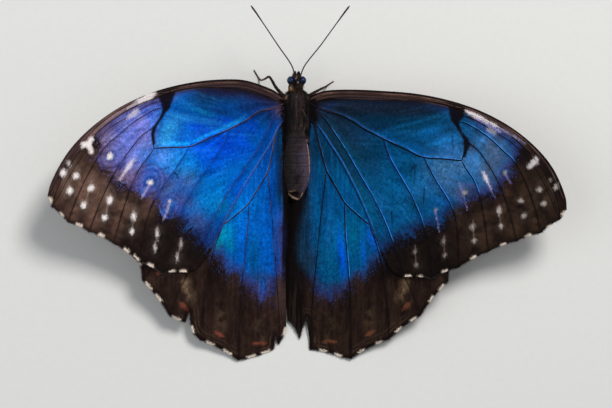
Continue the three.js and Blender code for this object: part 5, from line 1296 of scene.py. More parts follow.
def build_root_hair(kind, side, material):
    """Long hair over a wing's base and, on the hind wing, along its inner edge."""
    rng = np.random.default_rng(70 + (kind == "hind") * 2 + (side > 0))
    n = 2600 if kind == "fore" else 4600
    if kind == "fore":
        u = -1.25 + (2.3 if side < 0 else 3.7) * rng.beta(1.0, 1.9, n)
        v = rng.uniform(-8.5, 1.6, n)
        ring = np.vstack([spline(FORE_COSTA, 60)[:30], spline(FORE_INNER, 60)[:16][::-1]])
        q = np.hypot((u + 1.2) / (1.8 if side < 0 else 2.7), (v + 2.6) / 4.8)
        ok = (inside(u, v, ring) > 0.15) & (rng.uniform(0, 1, n) < smooth(1.05, 0.6, q))
    else:
        v = -1.5 - 24.0 * rng.beta(1.0, 1.1, n)
        limit = table(HAIR_LIMIT[side], v)
        u = limit - (limit + 1.25) * np.sqrt(rng.uniform(0, 1, n)) * 0.98 + rng.normal(0, 0.08, n)
        ok = (u > -1.22) & (rng.uniform(0, 1, n) < (smooth(-26, -20, v) + 0.1 if side < 0 else smooth(-20.5, -17.5, v)))
    u, v = u[ok], v[ok]
    pink = np.zeros(len(u))
    if kind == "fore":
        m = 70 if side < 0 else 40
        u = np.append(u, np.clip(rng.normal(0.75 if side < 0 else 1.5, 0.55, m), -0.5, 3.0))
        v = np.append(v, rng.normal(-2.7, 0.75, m))
        pink = np.append(pink, np.ones(m))
    n = len(u)
    P, nn, du, dv = sheet_frame(kind, side, u, v)
    f = wing_fields(kind, side, u, v)
    root = P + nn * (SHIFT[kind] + billow(kind, f) + THIN)[:, None]
    if kind == "fore":
        a, b = 0.75 - 0.25 * pink, -0.55 + 0.1 * (v + 2)
    else:
        a, b = 0.1 + 0.5 * smooth(-8, -3, v), -1.0 + 0 * u
    way = du * (a + rng.normal(0, 0.16, n))[:, None] + dv * (b + rng.normal(0, 0.12, n))[:, None]
    lift = np.abs(rng.normal(0.13, 0.07, n)) + 0.12 * pink
    way = unit(way) * np.cos(lift)[:, None] + nn * np.sin(lift)[:, None]
    dark = mix(lin(16, 12, 14), lin(26, 20, 22), rng.uniform(0, 1, n))
    tint = mix(dark, lin(158, 128, 172) if side < 0 else lin(84, 76, 92), pink * (0.75 if side < 0 else 0.6) * rng.uniform(0.3, 1, n))
    k = rng.uniform(0.7, 1.3, (n, 1))
    L = rng.uniform(0.8, 1.4, n) if kind == "fore" else rng.uniform(0.9, 1.6, n)
    L = L * (1 + 0.25 * pink)
    name = "%swing_%s" % (kind, "right" if side > 0 else "left")
    tufts(name + "_hair", root, way, L, rng.uniform(0.05, 0.08, n) * (1 - 0.35 * pink), tint * k * 0.7, tint * k * 1.25, wing_uv(kind, u, v, True), material, (name,), -nn * 0.1, 9, 0.45, nn)


hair_fringe = hair_material("fringe_scales", 0.6, 0.15)
hair_root = hair_material("wing_base_hair", 0.75, 0.0)
for side in (1, -1):
    for kind in ("fore", "hind"):
        build_wing(kind, side)
        build_veins(kind, side)
        build_fringe(kind, side, hair_fringe)
        build_root_hair(kind, side, hair_root)


# ------------------------------------------------------------------ the body
BODY_HALF = [[5.75, 0.72], [5.2, 1.0], [4.3, 1.3], [3.3, 1.58], [2.7, 1.55], [2.2, 1.85], [1.5, 2.35], [0.2, 2.62], [-3, 2.68], [-6.2, 2.5], [-7.6, 2.36], [-9.5, 2.6], [-12, 3.05], [-15.5, 3.38], [-18.6, 3.3], [-20.6, 2.82], [-22.2, 1.95], [-23.3, 1.0], [-23.7, 0.45]]
BODY_TOP = [[5.75, 0.25], [5.2, 0.95], [4.3, 1.4], [3.3, 1.35], [2.7, 1.2], [2.2, 1.4], [1.2, 1.85], [-1, 2.3], [-3.5, 2.4], [-6.2, 1.95], [-7.6, 1.5], [-10, 1.5], [-14, 1.6], [-17.5, 1.42], [-20.4, 0.85], [-22.4, 0.1], [-23.7, -0.75]]
BODY_LOW = [[5.75, -1.0], [5.2, -1.55], [4.3, -1.75], [3.3, -1.6], [2.7, -1.55], [2.2, -1.9], [1.2, -2.8], [-1, -3.5], [-3.5, -3.7], [-6.2, -3.15], [-7.6, -2.65], [-10, -2.75], [-14, -3.1], [-17.5, -2.95], [-20.4, -2.45], [-22.4, -1.8], [-23.7, -1.2]]
EYE_AT, EYE_R = np.array([1.33, 4.55, -0.1]), np.array([0.98, 1.04, 1.28])
ANTENNA = [[0.66, 5.1, 0.9], [0.84, 6.2, 1.6], [1.56, 8.1, 2.4], [4.95, 12.7, 4.0], [8.2, 17.3, 4.95], [10.4, 20.4, 5.5], [11.6, 22.0, 5.75]]
PALP = [[0.44, 4.95, -0.95], [0.5, 5.6, -0.75], [0.47, 6.2, -0.15], [0.4, 6.65, 0.6]]
FORELEG = [[0.75, 1.9, 7.6], [1.2, 2.5, 6.7], [1.25, 3.4, 6.3], [1.05, 4.2, 6.4], [1.0, 4.9, 6.6]]
LEGS = {
    "midleg_left": [[1.1, -0.9, 6.9], [2.4, 1.0, 6.5], [4.5, 3.2, 7.3], [6.0, 5.6, 7.6], [6.75, 5.65, 4.4], [7.3, 5.9, 0.9], [7.8, 6.75, 0.16], [8.65, 8.25, 0.155]],
    "midleg_right": [[1.1, -0.9, 6.9], [2.5, 0.7, 6.4], [4.6, 2.0, 7.2], [6.2, 2.85, 7.1], [7.6, 3.7, 4.0], [8.7, 4.4, 0.9], [9.3, 4.85, 0.16], [10.4, 5.55, 0.155]],
    "hindleg_left": [[1.1, -3.8, 6.3], [2.3, -4.9, 5.6], [4.5, -6.8, 5.7], [6.6, -8.5, 5.3], [7.6, -10.2, 3.1], [8.5, -11.9, 0.8], [9.2, -13.3, 0.16], [10.2, -15.5, 0.155]],
    "hindleg_right": [[1.1, -3.8, 6.3], [2.3, -4.7, 5.6], [4.6, -6.3, 5.7], [6.9, -7.7, 5.3], [8.1, -9.3, 3.1], [9.1, -10.9, 0.8], [9.9, -12.2, 0.16], [11.2, -14.3, 0.155]],
}
LEG_THICK = [0.42, 0.4, 0.34, 0.27, 0.2, 0.19, 0.16, 0.14]
RINGS = np.array([-8.9, -10.3, -12.3, -14.9, -17.3, -19.7, -21.2])      # the abdomen's ring joints


def mid_z(y):
    return 0.5 * (table(BODY_TOP, y) + table(BODY_LOW, y))


def depth_of(y):
    """How far the skin lies inside the solid body: the depth of its coat."""
    return table([[6, 0.1], [5, 0.14], [3.6, 0.16], [2.7, 0.26], [2.2, 0.4], [0, 0.46], [-5, 0.46], [-7.6, 0.2], [-10, 0.12], [-20, 0.12], [-23.7, 0.1]], y)


def body_loft():
    k, sides = 420, 128
    y = 5.72 - (5.72 + 23.66) * np.linspace(0, 1, k)
    a = np.arange(sides) * 2 * math.pi / sides
    d = depth_of(y)
    ring = np.zeros(k)
    for r in RINGS:
        ring += 0.5 * np.exp(-((y - r) / 0.2) ** 2) - 0.22 * np.exp(-((y - r + 0.5) / 0.36) ** 2)
    ring *= smooth(-7.9, -8.6, y)
    hx = np.maximum(table(BODY_HALF, y) - d - 0.045 * ring, 0.05)
    hz = np.maximum((table(BODY_TOP, y) - table(BODY_LOW, y)) / 2 - d - 0.045 * ring, 0.05)
    x = np.cos(a)[None] * hx[:, None]
    z = mid_z(y)[:, None] + np.sin(a)[None] * hz[:, None]
    Y = np.broadcast_to(y[:, None], x.shape).copy()
    up = smooth(0.1, 0.8, np.sin(a))[None]
    # shoulders: a furrow down the middle of the back and one beside each wing base
    z = z - up * 0.16 * np.exp(-(x / 0.2) ** 2) * smooth(2.4, 1.0, Y) * smooth(-7.6, -6.0, Y)
    z = z + up * 0.12 * np.exp(-((np.abs(x) - 1.1) / 0.5) ** 2) * np.exp(-((Y + 5.6) / 1.0) ** 2)
    z = z - up * 0.3 * np.exp(-((np.abs(x) - 0.95) / 0.28) ** 2) * np.exp(-((Y + 5.2) / 0.9) ** 2)
    # crown of the head: a low ridge between the eyes
    z = z + up * 0.12 * np.exp(-(x / 0.4) ** 2) * np.exp(-((Y - 3.9) / 0.7) ** 2)
    # side fold of the abdomen
    fold = np.exp(-((np.sin(a)[None] + 0.05) / 0.16) ** 2) * smooth(-8.2, -9.6, Y) * smooth(-23.0, -21.5, Y)
    x = x * (1 - 0.02 * fold)
    # the open tip
    inside_tip = smooth(-0.1, 0.35, inside(x, Y, [[-2.3, -21.75], [-0.2, -21.25], [0.9, -21.9], [0.45, -23.45], [-0.6, -23.1]]))
    z = z - 0.75 * inside_tip * up
    lip = smooth(0.26, 0.04, stroke_d(x, Y, [[-2.3, -21.7], [-0.8, -22.9], [0.4, -23.5], [1.2, -22.6], [1.6, -21.3]]))
    z = z + 0.1 * lip * up
    V = np.stack([x, Y, z], -1).reshape(-1, 3)
    V = np.vstack([V, [[0, 5.72 + 0.1, float(mid_z(5.7))]], [[0, -23.7, float(mid_z(-23.66))]]])
    i, j = np.meshgrid(np.arange(k - 1), np.arange(sides), indexing="ij")
    j2 = (j + 1) % sides
    Q = np.stack([i * sides + j, i * sides + j2, (i + 1) * sides + j2, (i + 1) * sides + j], -1).reshape(-1, 4)
    s = np.arange(sides)
    T = np.concatenate([np.stack([(s + 1) % sides, s, np.full(sides, k * sides)], -1),
                        np.stack([(k - 1) * sides + s, (k - 1) * sides + (s + 1) % sides, np.full(sides, k * sides + 1)], -1)])
    return V, Q, T


def stroke_d(x, y, pts):
    return to_line(x, y, pts)[0]


def limb_paths():
    """World paths and radii of everything that grows from the body under the one skin."""
    out = []
    for name, pts in LEGS.items():
        s = 1 if name.endswith("right") else -1
        p = np.array(pts, float)
        p[:, 0] *= s
        q = spline(stand(p), 150)
        t = np.linspace(0, 1, 151)
        knots = np.concatenate([[0], np.cumsum(np.linalg.norm(np.diff(stand(p), axis=0), axis=1))])
        r = np.interp(t * knots[-1], knots, LEG_THICK)
        # knees, and the five joints of the foot
        for kk in (3, 5):
            r = r * (1 + 0.16 * np.exp(-((t - knots[kk] / knots[-1]) / 0.012) ** 2))
        t0 = knots[5] / knots[-1]
        for kk in range(5):
            at = t0 + (1 - t0) * (kk + 0.95) / 5
            r = r * (1 + 0.2 * np.exp(-((t - at) / 0.01) ** 2) - 0.12 * np.exp(-((t - at - 0.012) / 0.008) ** 2))
        out.append((name, q, r))
    for s in (1, -1):
        p = np.array(FORELEG, float)
        p[:, 0] *= s
        out.append(("foreleg_" + ("right" if s > 0 else "left"), spline(stand(p), 70), np.interp(np.linspace(0, 1, 71), np.linspace(0, 1, 5), [0.3, 0.27, 0.22, 0.19, 0.17])))
        p = np.array(PALP, float)
        p[:, 0] *= s
        out.append(("palp_" + ("right" if s > 0 else "left"), spline(place(p), 60)[:55], np.interp(np.linspace(0, 1, 55), [0, 0.3, 0.7, 0.92, 1], [0.26, 0.28, 0.22, 0.15, 0.1])))
    return out


LIMBS = limb_paths()


def voxel_skin():
    V, Q, T = body_loft()
    Vs, Fs = [place(V)], [list(map(list, Q[:, ::-1])) + list(map(list, T[:, ::-1]))]
    base = len(V)
    for _, q, r in LIMBS:
        a, qq, tt = tube(q, r, 16)
        Vs.append(a)
        Fs.append([[x + base for x in f] for f in list(map(list, qq)) + list(map(list, tt))])
        base += len(a)
    th, ph = np.meshgrid(np.arange(32) * 2 * math.pi / 32, np.linspace(0.06, math.pi - 0.06, 20), indexing="xy")
    for s in (1, -1):
        d = np.stack([np.sin(ph) * np.cos(th), np.cos(ph), np.sin(ph) * np.sin(th)], -1).reshape(-1, 3)
        a = place(np.array([s * 2.25, 0.6, 0.72]) + d * [0.36, 0.8, 0.36])
        a = np.vstack([a, a[:32].mean(0), a[-32:].mean(0)])
        i, j = np.meshgrid(np.arange(19), np.arange(32), indexing="ij")
        q = np.stack([i * 32 + j, (i + 1) * 32 + j, (i + 1) * 32 + (j + 1) % 32, i * 32 + (j + 1) % 32], -1).reshape(-1, 4)
        k = np.arange(32)
        t = np.vstack([np.stack([k, (k + 1) % 32, 0 * k + 640], -1), np.stack([608 + (k + 1) % 32, 608 + k, 0 * k + 641], -1)])
        Vs.append(a)
        Fs.append([[x + base for x in f] for f in q.tolist() + t.tolist()])
        base += len(a)
    me = bpy.data.meshes.new("rough")
    me.from_pydata(np.vstack(Vs).tolist(), [], [f for part in Fs for f in part])
    me.update()
    ob = bpy.data.objects.new("rough", me)
    bpy.context.scene.collection.objects.link(ob)
    m = ob.modifiers.new("r", "REMESH")
    m.mode, m.voxel_size, m.adaptivity = "VOXEL", 0.085, 0.0
    dg = bpy.context.evaluated_depsgraph_get()
    done = ob.evaluated_get(dg)
    em = done.to_mesh()
    n = len(em.vertices)
    P = np.empty(n * 3, np.float32)
    em.vertices.foreach_get("co", P)
    P = P.reshape(-1, 3).astype(float)
    L = np.empty(len(em.loops), np.int32)
    em.loops.foreach_get("vertex_index", L)
    st = np.empty(len(em.polygons), np.int32)
    em.polygons.foreach_get("loop_start", st)
    tot = np.empty(len(em.polygons), np.int32)
    em.polygons.foreach_get("loop_total", tot)
    Q = np.stack([L[st[tot == 4] + k] for k in range(4)], -1)
    T = np.stack([L[st[tot == 3] + k] for k in range(3)], -1) if (tot == 3).any() else np.zeros((0, 3), int)
    done.to_mesh_clear()
    bpy.data.objects.remove(ob)
    bpy.data.meshes.remove(me)
    # ease the voxel steps
    E = np.vstack([Q[:, [0, 1]], Q[:, [1, 2]], Q[:, [2, 3]], Q[:, [3, 0]]] + ([T[:, [0, 1]], T[:, [1, 2]], T[:, [2, 0]]] if len(T) else []))
    deg = np.bincount(E.ravel(), minlength=n)[:, None]
    for w in (0.5, -0.52, 0.5, -0.52, 0.4):
        acc = np.zeros_like(P)
        for k in range(3):
            acc[:, k] = np.bincount(E[:, 0], P[E[:, 1], k], n) + np.bincount(E[:, 1], P[E[:, 0], k], n)
        P = P + w * (acc / np.maximum(deg, 1) - P)
    return P, Q, T


def near_path(P, q, hops=1):
    """Distance to a path's points and the nearest point's index."""
    out_d = np.full(len(P), 1e9)
    out_i = np.zeros(len(P), int)
    for i in range(0, len(q), hops):
        d = np.sum((P - q[i]) ** 2, 1)
        m = d < out_d
        out_d[m] = d[m]
        out_i[m] = i
    return np.sqrt(out_d), out_i


def limb_of(P):
    """For each point the limb it belongs to (-1 for the body) and the place along it."""
    A = unplace(P)
    half = table(BODY_HALF, A[:, 1])
    hz = 0.5 * (table(BODY_TOP, A[:, 1]) - table(BODY_LOW, A[:, 1]))
    d = depth_of(A[:, 1])
    q = np.hypot(A[:, 0] / np.maximum(half - d, 0.05), (A[:, 2] - mid_z(A[:, 1])) / np.maximum(hz - d, 0.05))
    off = ((q > 1.1) | (A[:, 1] > 5.9)) & ~((A[:, 2] > 0.2) & (A[:, 1] < 2.4))
    which = np.full(len(P), -1)
    at = np.zeros(len(P))
    best = np.full(len(P), 1e9)
    idx = np.where(off)[0]
    for k, (_, path, r) in enumerate(LIMBS):
        dd, ii = near_path(P[idx], path)
        m = dd < np.minimum(best[idx], 1.0)
        best[idx[m]] = dd[m]
        which[idx[m]] = k
        at[idx[m]] = ii[m] / (len(path) - 1)
    return which, at, A


def skin_colour(P, N, which, at, A):
    """The markings, with painted shade and highlights on the thorax and abdomen, shared by the skin and by its coat."""
    x, y, z = A[:, 0], A[:, 1], A[:, 2]
    up = N[:, 2]
    streak = fbm(x * 3.4 + 7, y * 0.42, 101, 3)
    speck = fbm(x * 2.2, y * 1.6, 107, 2)
    # thorax, painted darker on its left side as shade
    thor = mix(lin(13, 9, 10), lin(72, 58, 59), smooth(0.36, 0.66, streak) * (0.35 + 0.65 * smooth(-2.2, -0.4, x)))
    thor = mix(thor, lin(62, 51, 53), 0.6 * smooth(-1.6, -0.4, y) * smooth(-1.9, -0.8, x) * smooth(1.9, 1.2, x))
    sweep = 1.1 + 0.88 * smooth(-1.4, -3.9, y) - 0.62 * smooth(-4.6, -6.9, y)
    # a pale stripe curving down the right of the thorax: painted highlight
    thor = mix(thor, lin(118, 99, 100), 0.85 * np.exp(-((x - sweep) / (0.19 + 0.12 * smooth(-4.6, -6.6, y))) ** 2) * smooth(-1.2, -2.4, y) * smooth(-0.1, 0.25, up) * (0.5 + 0.7 * speck))
    thor = mix(thor, lin(84, 70, 72), 0.6 * np.exp(-((x - 0.3) / 1.5) ** 2) * smooth(-5.4, -7.2, y) * smooth(-0.1, 0.3, up))
    thor = mix(thor, lin(60, 50, 52), 0.6 * np.exp(-((x + 0.6) / 0.8) ** 2 - ((y - 1.0) / 1.0) ** 2))
    # painted shade down the left side, beside the highlight and past it on the right
    thor = mix(thor, lin(10, 7, 8), 0.92 * smooth(-1.0, -1.75, x) * smooth(-0.5, 0.0, up))
    thor = mix(thor, lin(10, 7, 8), 0.9 * smooth(0.2, 0.45, x - sweep) * smooth(-1.2, -2.0, y) * smooth(-0.5, 0.0, up) + 0.85 * smooth(1.9, 2.2, x) * smooth(-2.0, -1.2, y))
    thor = mix(thor, lin(8, 6, 7), 0.8 * np.exp(-((x - sweep + 0.36) / 0.16) ** 2) * smooth(-1.6, -2.6, y) * smooth(-7.0, -6.0, y))
    thor = mix(thor, lin(92, 76, 78), 0.5 * np.exp(-((x + 0.45 + 0.05 * y) / 0.14) ** 2) * smooth(0.8, 0.0, y) * smooth(-5.4, -3.0, y))
    thor = mix(thor, lin(9, 6, 7), 0.7 * np.exp(-((x + 0.95 + 0.03 * y) / 0.16) ** 2) * smooth(1.2, 0.4, y) * smooth(-6.0, -4.5, y) + 0.6 * np.exp(-((x - 0.25) / 0.15) ** 2) * smooth(0.6, -0.6, y) * smooth(-6.0, -4.0, y))
    thor = mix(thor, lin(8, 6, 7), 0.75 * np.exp(-((y + 7.55 - 0.05 * x * x) / 0.2) ** 2) + 0.6 * np.exp(-((y + 6.75 - 0.04 * x * x) / 0.14) ** 2))
    thor = mix(thor, lin(10, 7, 9), 0.75 * np.exp(-((x - 0.7) / 0.28) ** 2 - ((y + 3.0) / 0.9) ** 2) + 0.5 * np.exp(-((x + 0.1) / 0.9) ** 2 - ((y + 6.9) / 0.5) ** 2))
    # abdomen, painted dark on its left side as shade, with a purplish grey painted sheen on its right
    ring = np.zeros(len(x))
    band = np.zeros(len(x))
    for r in RINGS:
        yr = y - r + 0.05 * np.sin(x * 1.7 + r) + 0.3 * (fbm(x * 0.8 + r, y * 0.3, 119, 2) - 0.5)
        ring += np.exp(-(yr / 0.17) ** 2)
        band += np.exp(-((yr + 0.4) / 0.22) ** 2)
    cloud = fbm(x * 0.9 + 3, y * 0.7, 113, 3)
    abd = mix(lin(15, 10, 12), lin(44, 35, 39), smooth(-2.9, -1.3, x + 1.2 * (cloud - 0.5)))
    tint = x + 0.9 * (cloud - 0.5)
    abd = mix(abd, lin(62, 52, 60), 0.8 * smooth(-2.1, -0.1, tint) * smooth(-6.5, -8.5, y))
    abd = mix(abd, lin(98, 87, 108), 0.85 * smooth(-0.3, 2.2, tint) * smooth(-8.0, -12.5, y) * smooth(-22.5, -20.5, y))
    abd = mix(abd, lin(20, 15, 19), 0.75 * np.exp(-((x + 0.1) / 1.0) ** 2 - ((y + 18.4) / 1.4) ** 2) + 0.35 * np.exp(-((x + 0.6) / 0.8) ** 2 - ((y + 16.6) / 0.6) ** 2))
    abd = mix(abd, lin(82, 70, 72), 0.4 * np.exp(-((x + 0.9) / 0.6) ** 2 - ((y + 20.9) / 0.5) ** 2))
    patchy = smooth(0.35, 0.7, fbm(x * 0.8 + 3, y * 0.9, 115, 2))
    abd = mix(abd, lin(96, 84, 90), 0.16 * clamp(band, 0, 1) * smooth(-0.2, 0.5, up) * patchy * smooth(-1.6, -0.4, x))
    abd = mix(abd, lin(12, 8, 10), 0.14 * clamp(ring, 0, 1) * patchy)
    abd = mix(abd, lin(22, 16, 22), 0.5 * smooth(0.5, 0.3, fbm(x * 1.3 + 11, y * 1.1, 131, 3)) * smooth(-8.5, -9.5, y) * smooth(2.0, 1.2, x))
    abd = mix(abd, lin(92, 88, 122), 0.3 * smooth(0.5, 0.68, fbm(x * 1.1 + 5, y * 1.6, 133, 3)) * smooth(-11.0, -12.5, y) * smooth(-1.4, 0.2, x) * smooth(-21.0, -20.0, y))
    abd = mix(abd, lin(46, 26, 24), 0.7 * bump(x, -2.95, 0.14) * smooth(-9, -11, y) * smooth(-20.5, -19, y))
    # a pale line down the right edge: the side fold's own colour, painted on the lit right side only, as a highlight
    edge_x = table(BODY_HALF, y)
    rim = smooth(0.8, 0.92, x / np.maximum(edge_x, 0.3)) * smooth(-8.0, -9.5, y) * smooth(-21.3, -20, y) * smooth(-0.55, -0.1, up)
    abd = mix(abd, lin(232, 188, 188), 0.9 * rim * smooth(0.2, 0.5, fbm(y * 1.3, x, 117, 2) + 0.15))
    abd = mix(abd, lin(74, 58, 46), 0.5 * smooth(0.0, -0.7, up))
    # the inside of the open tip painted near black: painted shade in the hollow
    hollow = smooth(-0.05, 0.2, inside(x, y, [[-2.3, -21.8], [-0.2, -21.3], [0.8, -21.9], [0.45, -23.3], [-0.6, -22.95]])) * smooth(-0.4, 0.2, up)
    abd = mix(abd, mix(lin(8, 6, 8), lin(48, 30, 58), np.exp(-((x - 0.4) / 0.3) ** 2)), 0.95 * hollow)
    lip = smooth(0.24, 0.06, stroke_d(x, y, [[-2.3, -21.75], [-1.2, -22.7], [0.4, -23.5], [1.1, -22.9], [1.5, -21.6]])) * smooth(-0.6, 0.0, up)
    lip2 = smooth(0.17, 0.04, stroke_d(x, y, [[-2.3, -21.7], [-1.4, -21.35], [-0.4, -21.2]])) * smooth(-0.2, 0.2, up)
    abd = mix(abd, lin(186, 158, 138), 0.9 * np.maximum(lip, 0.7 * lip2))
    c = mix(thor, abd, smooth(-7.2, -8.0, y))
    # head
    hd = mix(lin(8, 5, 6), lin(20, 14, 12), smooth(0.35, 0.75, fbm(x * 2.4, y * 2.4, 121, 2)))
    for (a, b, r, col, amt) in ((-0.42, 4.95, 0.15, lin(232, 224, 200), 0.95), (0.1, 4.0, 0.16, lin(205, 205, 200), 0.9), (0.3, 5.5, 0.24, lin(194, 160, 120), 0.85), (-1.5, 3.4, 0.26, lin(226, 182, 156), 0.9), (-1.66, 3.1, 0.2, lin(206, 166, 132), 0.8),
                               (0.75, 3.35, 0.26, lin(92, 70, 48), 0.8), (0.0, 2.9, 0.4, lin(84, 72, 52), 0.6), (1.35, 3.2, 0.22, lin(128, 104, 82), 0.8), (-0.55, 5.25, 0.18, lin(70, 60, 110), 0.8), (0.42, 4.65, 0.16, lin(110, 70, 40), 0.7)):
        hd = mix(hd, col, amt * np.exp(-((x - a) ** 2 + (y - b) ** 2) / (r * r)) * smooth(0, 0.4, up))
    hd = mix(hd, lin(126, 96, 72), 0.6 * smooth(-0.2, -0.8, up) * smooth(0.4, 0.7, speck))
    col_ = mix(lin(10, 7, 6), lin(46, 36, 24), smooth(0.4, 0.8, fbm(x * 2, y * 3, 127, 2)))
    c = mix(c, col_, smooth(1.5, 2.1, y))
    c = mix(c, hd, smooth(2.75, 3.1, y))
    c = mix(c, lin(186, 118, 56), 0.75 * np.exp(-(((x + 1.15) / 0.46) ** 2 + ((y - 2.6) / 0.22) ** 2)))
    c = mix(c, lin(246, 206, 166), 0.98 * np.exp(-(((x + 1.62) / 0.46) ** 2 + ((y - 2.9) / 0.34) ** 2)))
    c = mix(c, lin(120, 96, 76), 0.6 * np.exp(-(((x - 1.3) / 0.3) ** 2 + ((y - 2.6) / 0.3) ** 2)))
    # pale shoulder spots and chest
    for (a, b, r1, r2, amt) in ((-2.45, 1.15, 0.16, 0.15, 0.75), (2.35, 0.95, 0.09, 0.2, 0.35), (-2.2, 0.1, 0.08, 0.5, 0.3), (-0.35, 1.3, 0.14, 0.12, 0.5)):
        c = mix(c, lin(186, 150, 140), amt * np.exp(-((x - a) / r1) ** 2 - ((y - b) / r2) ** 2) * smooth(-0.3, 0.2, up))
    under = smooth(-0.1, -0.7, up) * smooth(2.4, 1.2, y) * smooth(-7.9, -7.0, y)
    c = mix(c, mix(lin(84, 64, 50), lin(120, 94, 72), smooth(0.4, 0.7, speck)), 0.75 * under)
    # limbs
    leg = mix(lin(30, 22, 20), lin(58, 42, 36), smooth(0.4, 0.8, fbm(at * 40, which * 3.0, 131, 2)))
    leg = mix(leg, lin(104, 76, 62), 0.55 * smooth(0.35, 0.6, fbm(x * 2.1, y * 2.1, 137, 2)) * smooth(0.4, 0.1, at))
    leg = mix(leg, lin(112, 80, 74), 0.55 * smooth(0.4, 0.7, at) * smooth(0.3, 0.6, fbm(x * 1.7, y * 1.7, 139, 2)))
    leg = mix(leg, lin(96, 74, 58), 0.5 * smooth(0.1, -0.6, up))
    palp = mix(lin(10, 7, 7), lin(40, 29, 25), smooth(0.45, 0.8, speck))
    palp = mix(palp, lin(188, 160, 136), 0.5 * smooth(0.1, -0.6, up))
    c = np.where(((which >= 0) & (which < 4) | (which == 4) | (which == 6))[:, None], leg, c)
    c = np.where(((which == 5) | (which == 7))[:, None], palp, c)
    return c


def mesh_normals(P, Q, T):
    F = np.vstack([Q[:, [0, 1, 2]], Q[:, [0, 2, 3]], T])
    fn = np.cross(P[F[:, 1]] - P[F[:, 0]], P[F[:, 2]] - P[F[:, 0]])
    N = np.zeros_like(P)
    for k in range(3):
        for c in range(3):
            N[:, c] += np.bincount(F[:, k], fn[:, c], len(P))
    return unit(N), F, 0.5 * np.linalg.norm(fn, axis=1)


def skin_uv(P, F, which, at, A):
    """An unwrap of the skin's own shape: the body as a rolled-out tube, each limb as its own strip."""
    w = which[F]
    face = np.where((w == w[:, :1]).all(1), w[:, 0], np.max(w, axis=1))
    a = np.arctan2(A[:, 2] - mid_z(A[:, 1]), A[:, 0]) + math.pi / 2      # 0 underneath
    a = np.mod(a, 2 * math.pi)
    fa = a[F]
    wide = (fa.max(1) - fa.min(1)) > math.pi
    fa = np.where(wide[:, None] & (fa < math.pi), fa + 2 * math.pi, fa)
    U = np.clip((6.0 - A[:, 1][F]) / 30.0, 0.002, 0.998)
    uv = np.stack([U, 0.3 + 0.66 * fa / (2 * math.pi)], -1)
    for k, (_, path, r) in enumerate(LIMBS):
        m = face == k
        if not m.any():
            continue
        vid = F[m]
        tan = unit(np.gradient(path, axis=0))
        ref = np.array([0.3, 0.2, 0.93]) if abs(tan[:, 2]).mean() < 0.8 else np.array([1.0, 0, 0])
        ids = np.unique(vid)
        _, ii = near_path(P[ids], path)
        n1 = unit(np.cross(tan[ii], ref))
        n2 = np.cross(tan[ii], n1)
        rel = P[ids] - path[ii]
        ang = np.arctan2(np.sum(rel * n2, 1), np.sum(rel * n1, 1)) + math.pi
        full = np.zeros(len(P))
        full[ids] = ang
        s = np.zeros(len(P))
        s[ids] = (ii + np.sum(rel * tan[ii], 1) / np.linalg.norm(path[1] - path[0])) / (len(path) - 1)
        g = full[vid]
        wide = (g.max(1) - g.min(1)) > math.pi
        g = np.where(wide[:, None] & (g < math.pi), g + 2 * math.pi, g)
        h = 0.28 / 8
        uv[m] = np.stack([0.01 + 0.98 * clamp(s[vid], 0, 1), 0.006 + h * k + h * 0.92 * g / (2.6 * math.pi)], -1)
    return np.clip(uv, 0.001, 0.999)


def build_skin():
    P, Q, T = voxel_skin()
    N, F3, area = mesh_normals(P, Q, T)
    # faces must look outwards
    c = P.mean(0)
    if np.sum(N * (P - c)) < 0:
        Q, T = Q[:, ::-1], T[:, ::-1]
        N, F3, area = mesh_normals(P, Q, T)
    which, at, A = limb_of(P)
    colour = skin_colour(P, N, which, at, A) * 0.85
    uq, ut = skin_uv(P, Q, which, at, A), skin_uv(P, T, which, at, A) if len(T) else np.zeros((0, 3, 2))
    s = Shader("skin", IOR=1.5)
    s.bsdf.inputs["Specular IOR Level"].default_value = 0.12
    fine = s.noise(0.22, 4, 0.62)
    mid = s.noise(0.9, 3, 0.6)
    base = s.attr("tint", True)
    base = s.mix(s.ramp(fine, 0.42, 0.72, 0.0, 0.55), base, s.mix(1.0, base, (1.9, 1.75, 1.7, 1), "MULTIPLY"))
    base = s.mix(s.ramp(mid, 0.4, 0.65, 0.0, 0.45), base, s.mix(1.0, base, (0.5, 0.48, 0.5, 1), "MULTIPLY"))
    s.set("Base Color", base)
    s.set("Roughness", s.math("MULTIPLY_ADD", fine, 0.35, 0.42))
    hairs = s.noise(0.12, 2, 0.6, s.coords((1.0, 0.25, 1.0)))
    s.bump(s.math("ADD", s.math("MULTIPLY", hairs, 0.8), fine), 0.55, 0.05)
    names = ["head", "prothorax", "thorax", "abdomen", "palp_left", "palp_right", "foreleg_left", "foreleg_right"] + list(LEGS)
    make("body_skin", P, Q, T, [s.mat], None, np.concatenate([uq.reshape(-1, 2), ut.reshape(-1, 2)]), {"tint": colour}, names)
    uv3 = np.concatenate([uq[:, [0, 1, 2]], uq[:, [0, 2, 3]], ut])
    return dict(P=P, N=N, F=F3, area=area, which=which, at=at, A=A, uv=uv3)


def lie_of(P, N, which, at, A, rng):
    """The lie of the coat: back along the body, out along each limb, forward on the face."""
    back = turn(np.array([[0.0, -1.0, 0.0]]))[0]
    D = np.broadcast_to(back, P.shape).copy()
    side = np.sign(A[:, 0])
    out = turn(np.array([[1.0, 0, 0]]))[0]
    D += out * (side * 0.28 * smooth(0.4, 2.2, np.abs(A[:, 0])) * smooth(2.0, -1.0, A[:, 1]) * smooth(-7.5, -5, A[:, 1]))[:, None]
    head = smooth(2.9, 3.4, A[:, 1])
    fwd = turn(np.array([[0, 0.75, 0.75]]))[0]
    D = D * (1 - head)[:, None] + fwd * head[:, None]
    for k, (_, path, r) in enumerate(LIMBS):
        m = which == k
        if m.any():
            tan = unit(np.gradient(path, axis=0))
            D[m] = tan[np.clip((at[m] * (len(path) - 1)).astype(int), 0, len(path) - 1)]
    D = D + rng.normal(0, 0.16, P.shape)
    D = D - N * np.sum(D * N, 1, keepdims=True)
    return unit(D)


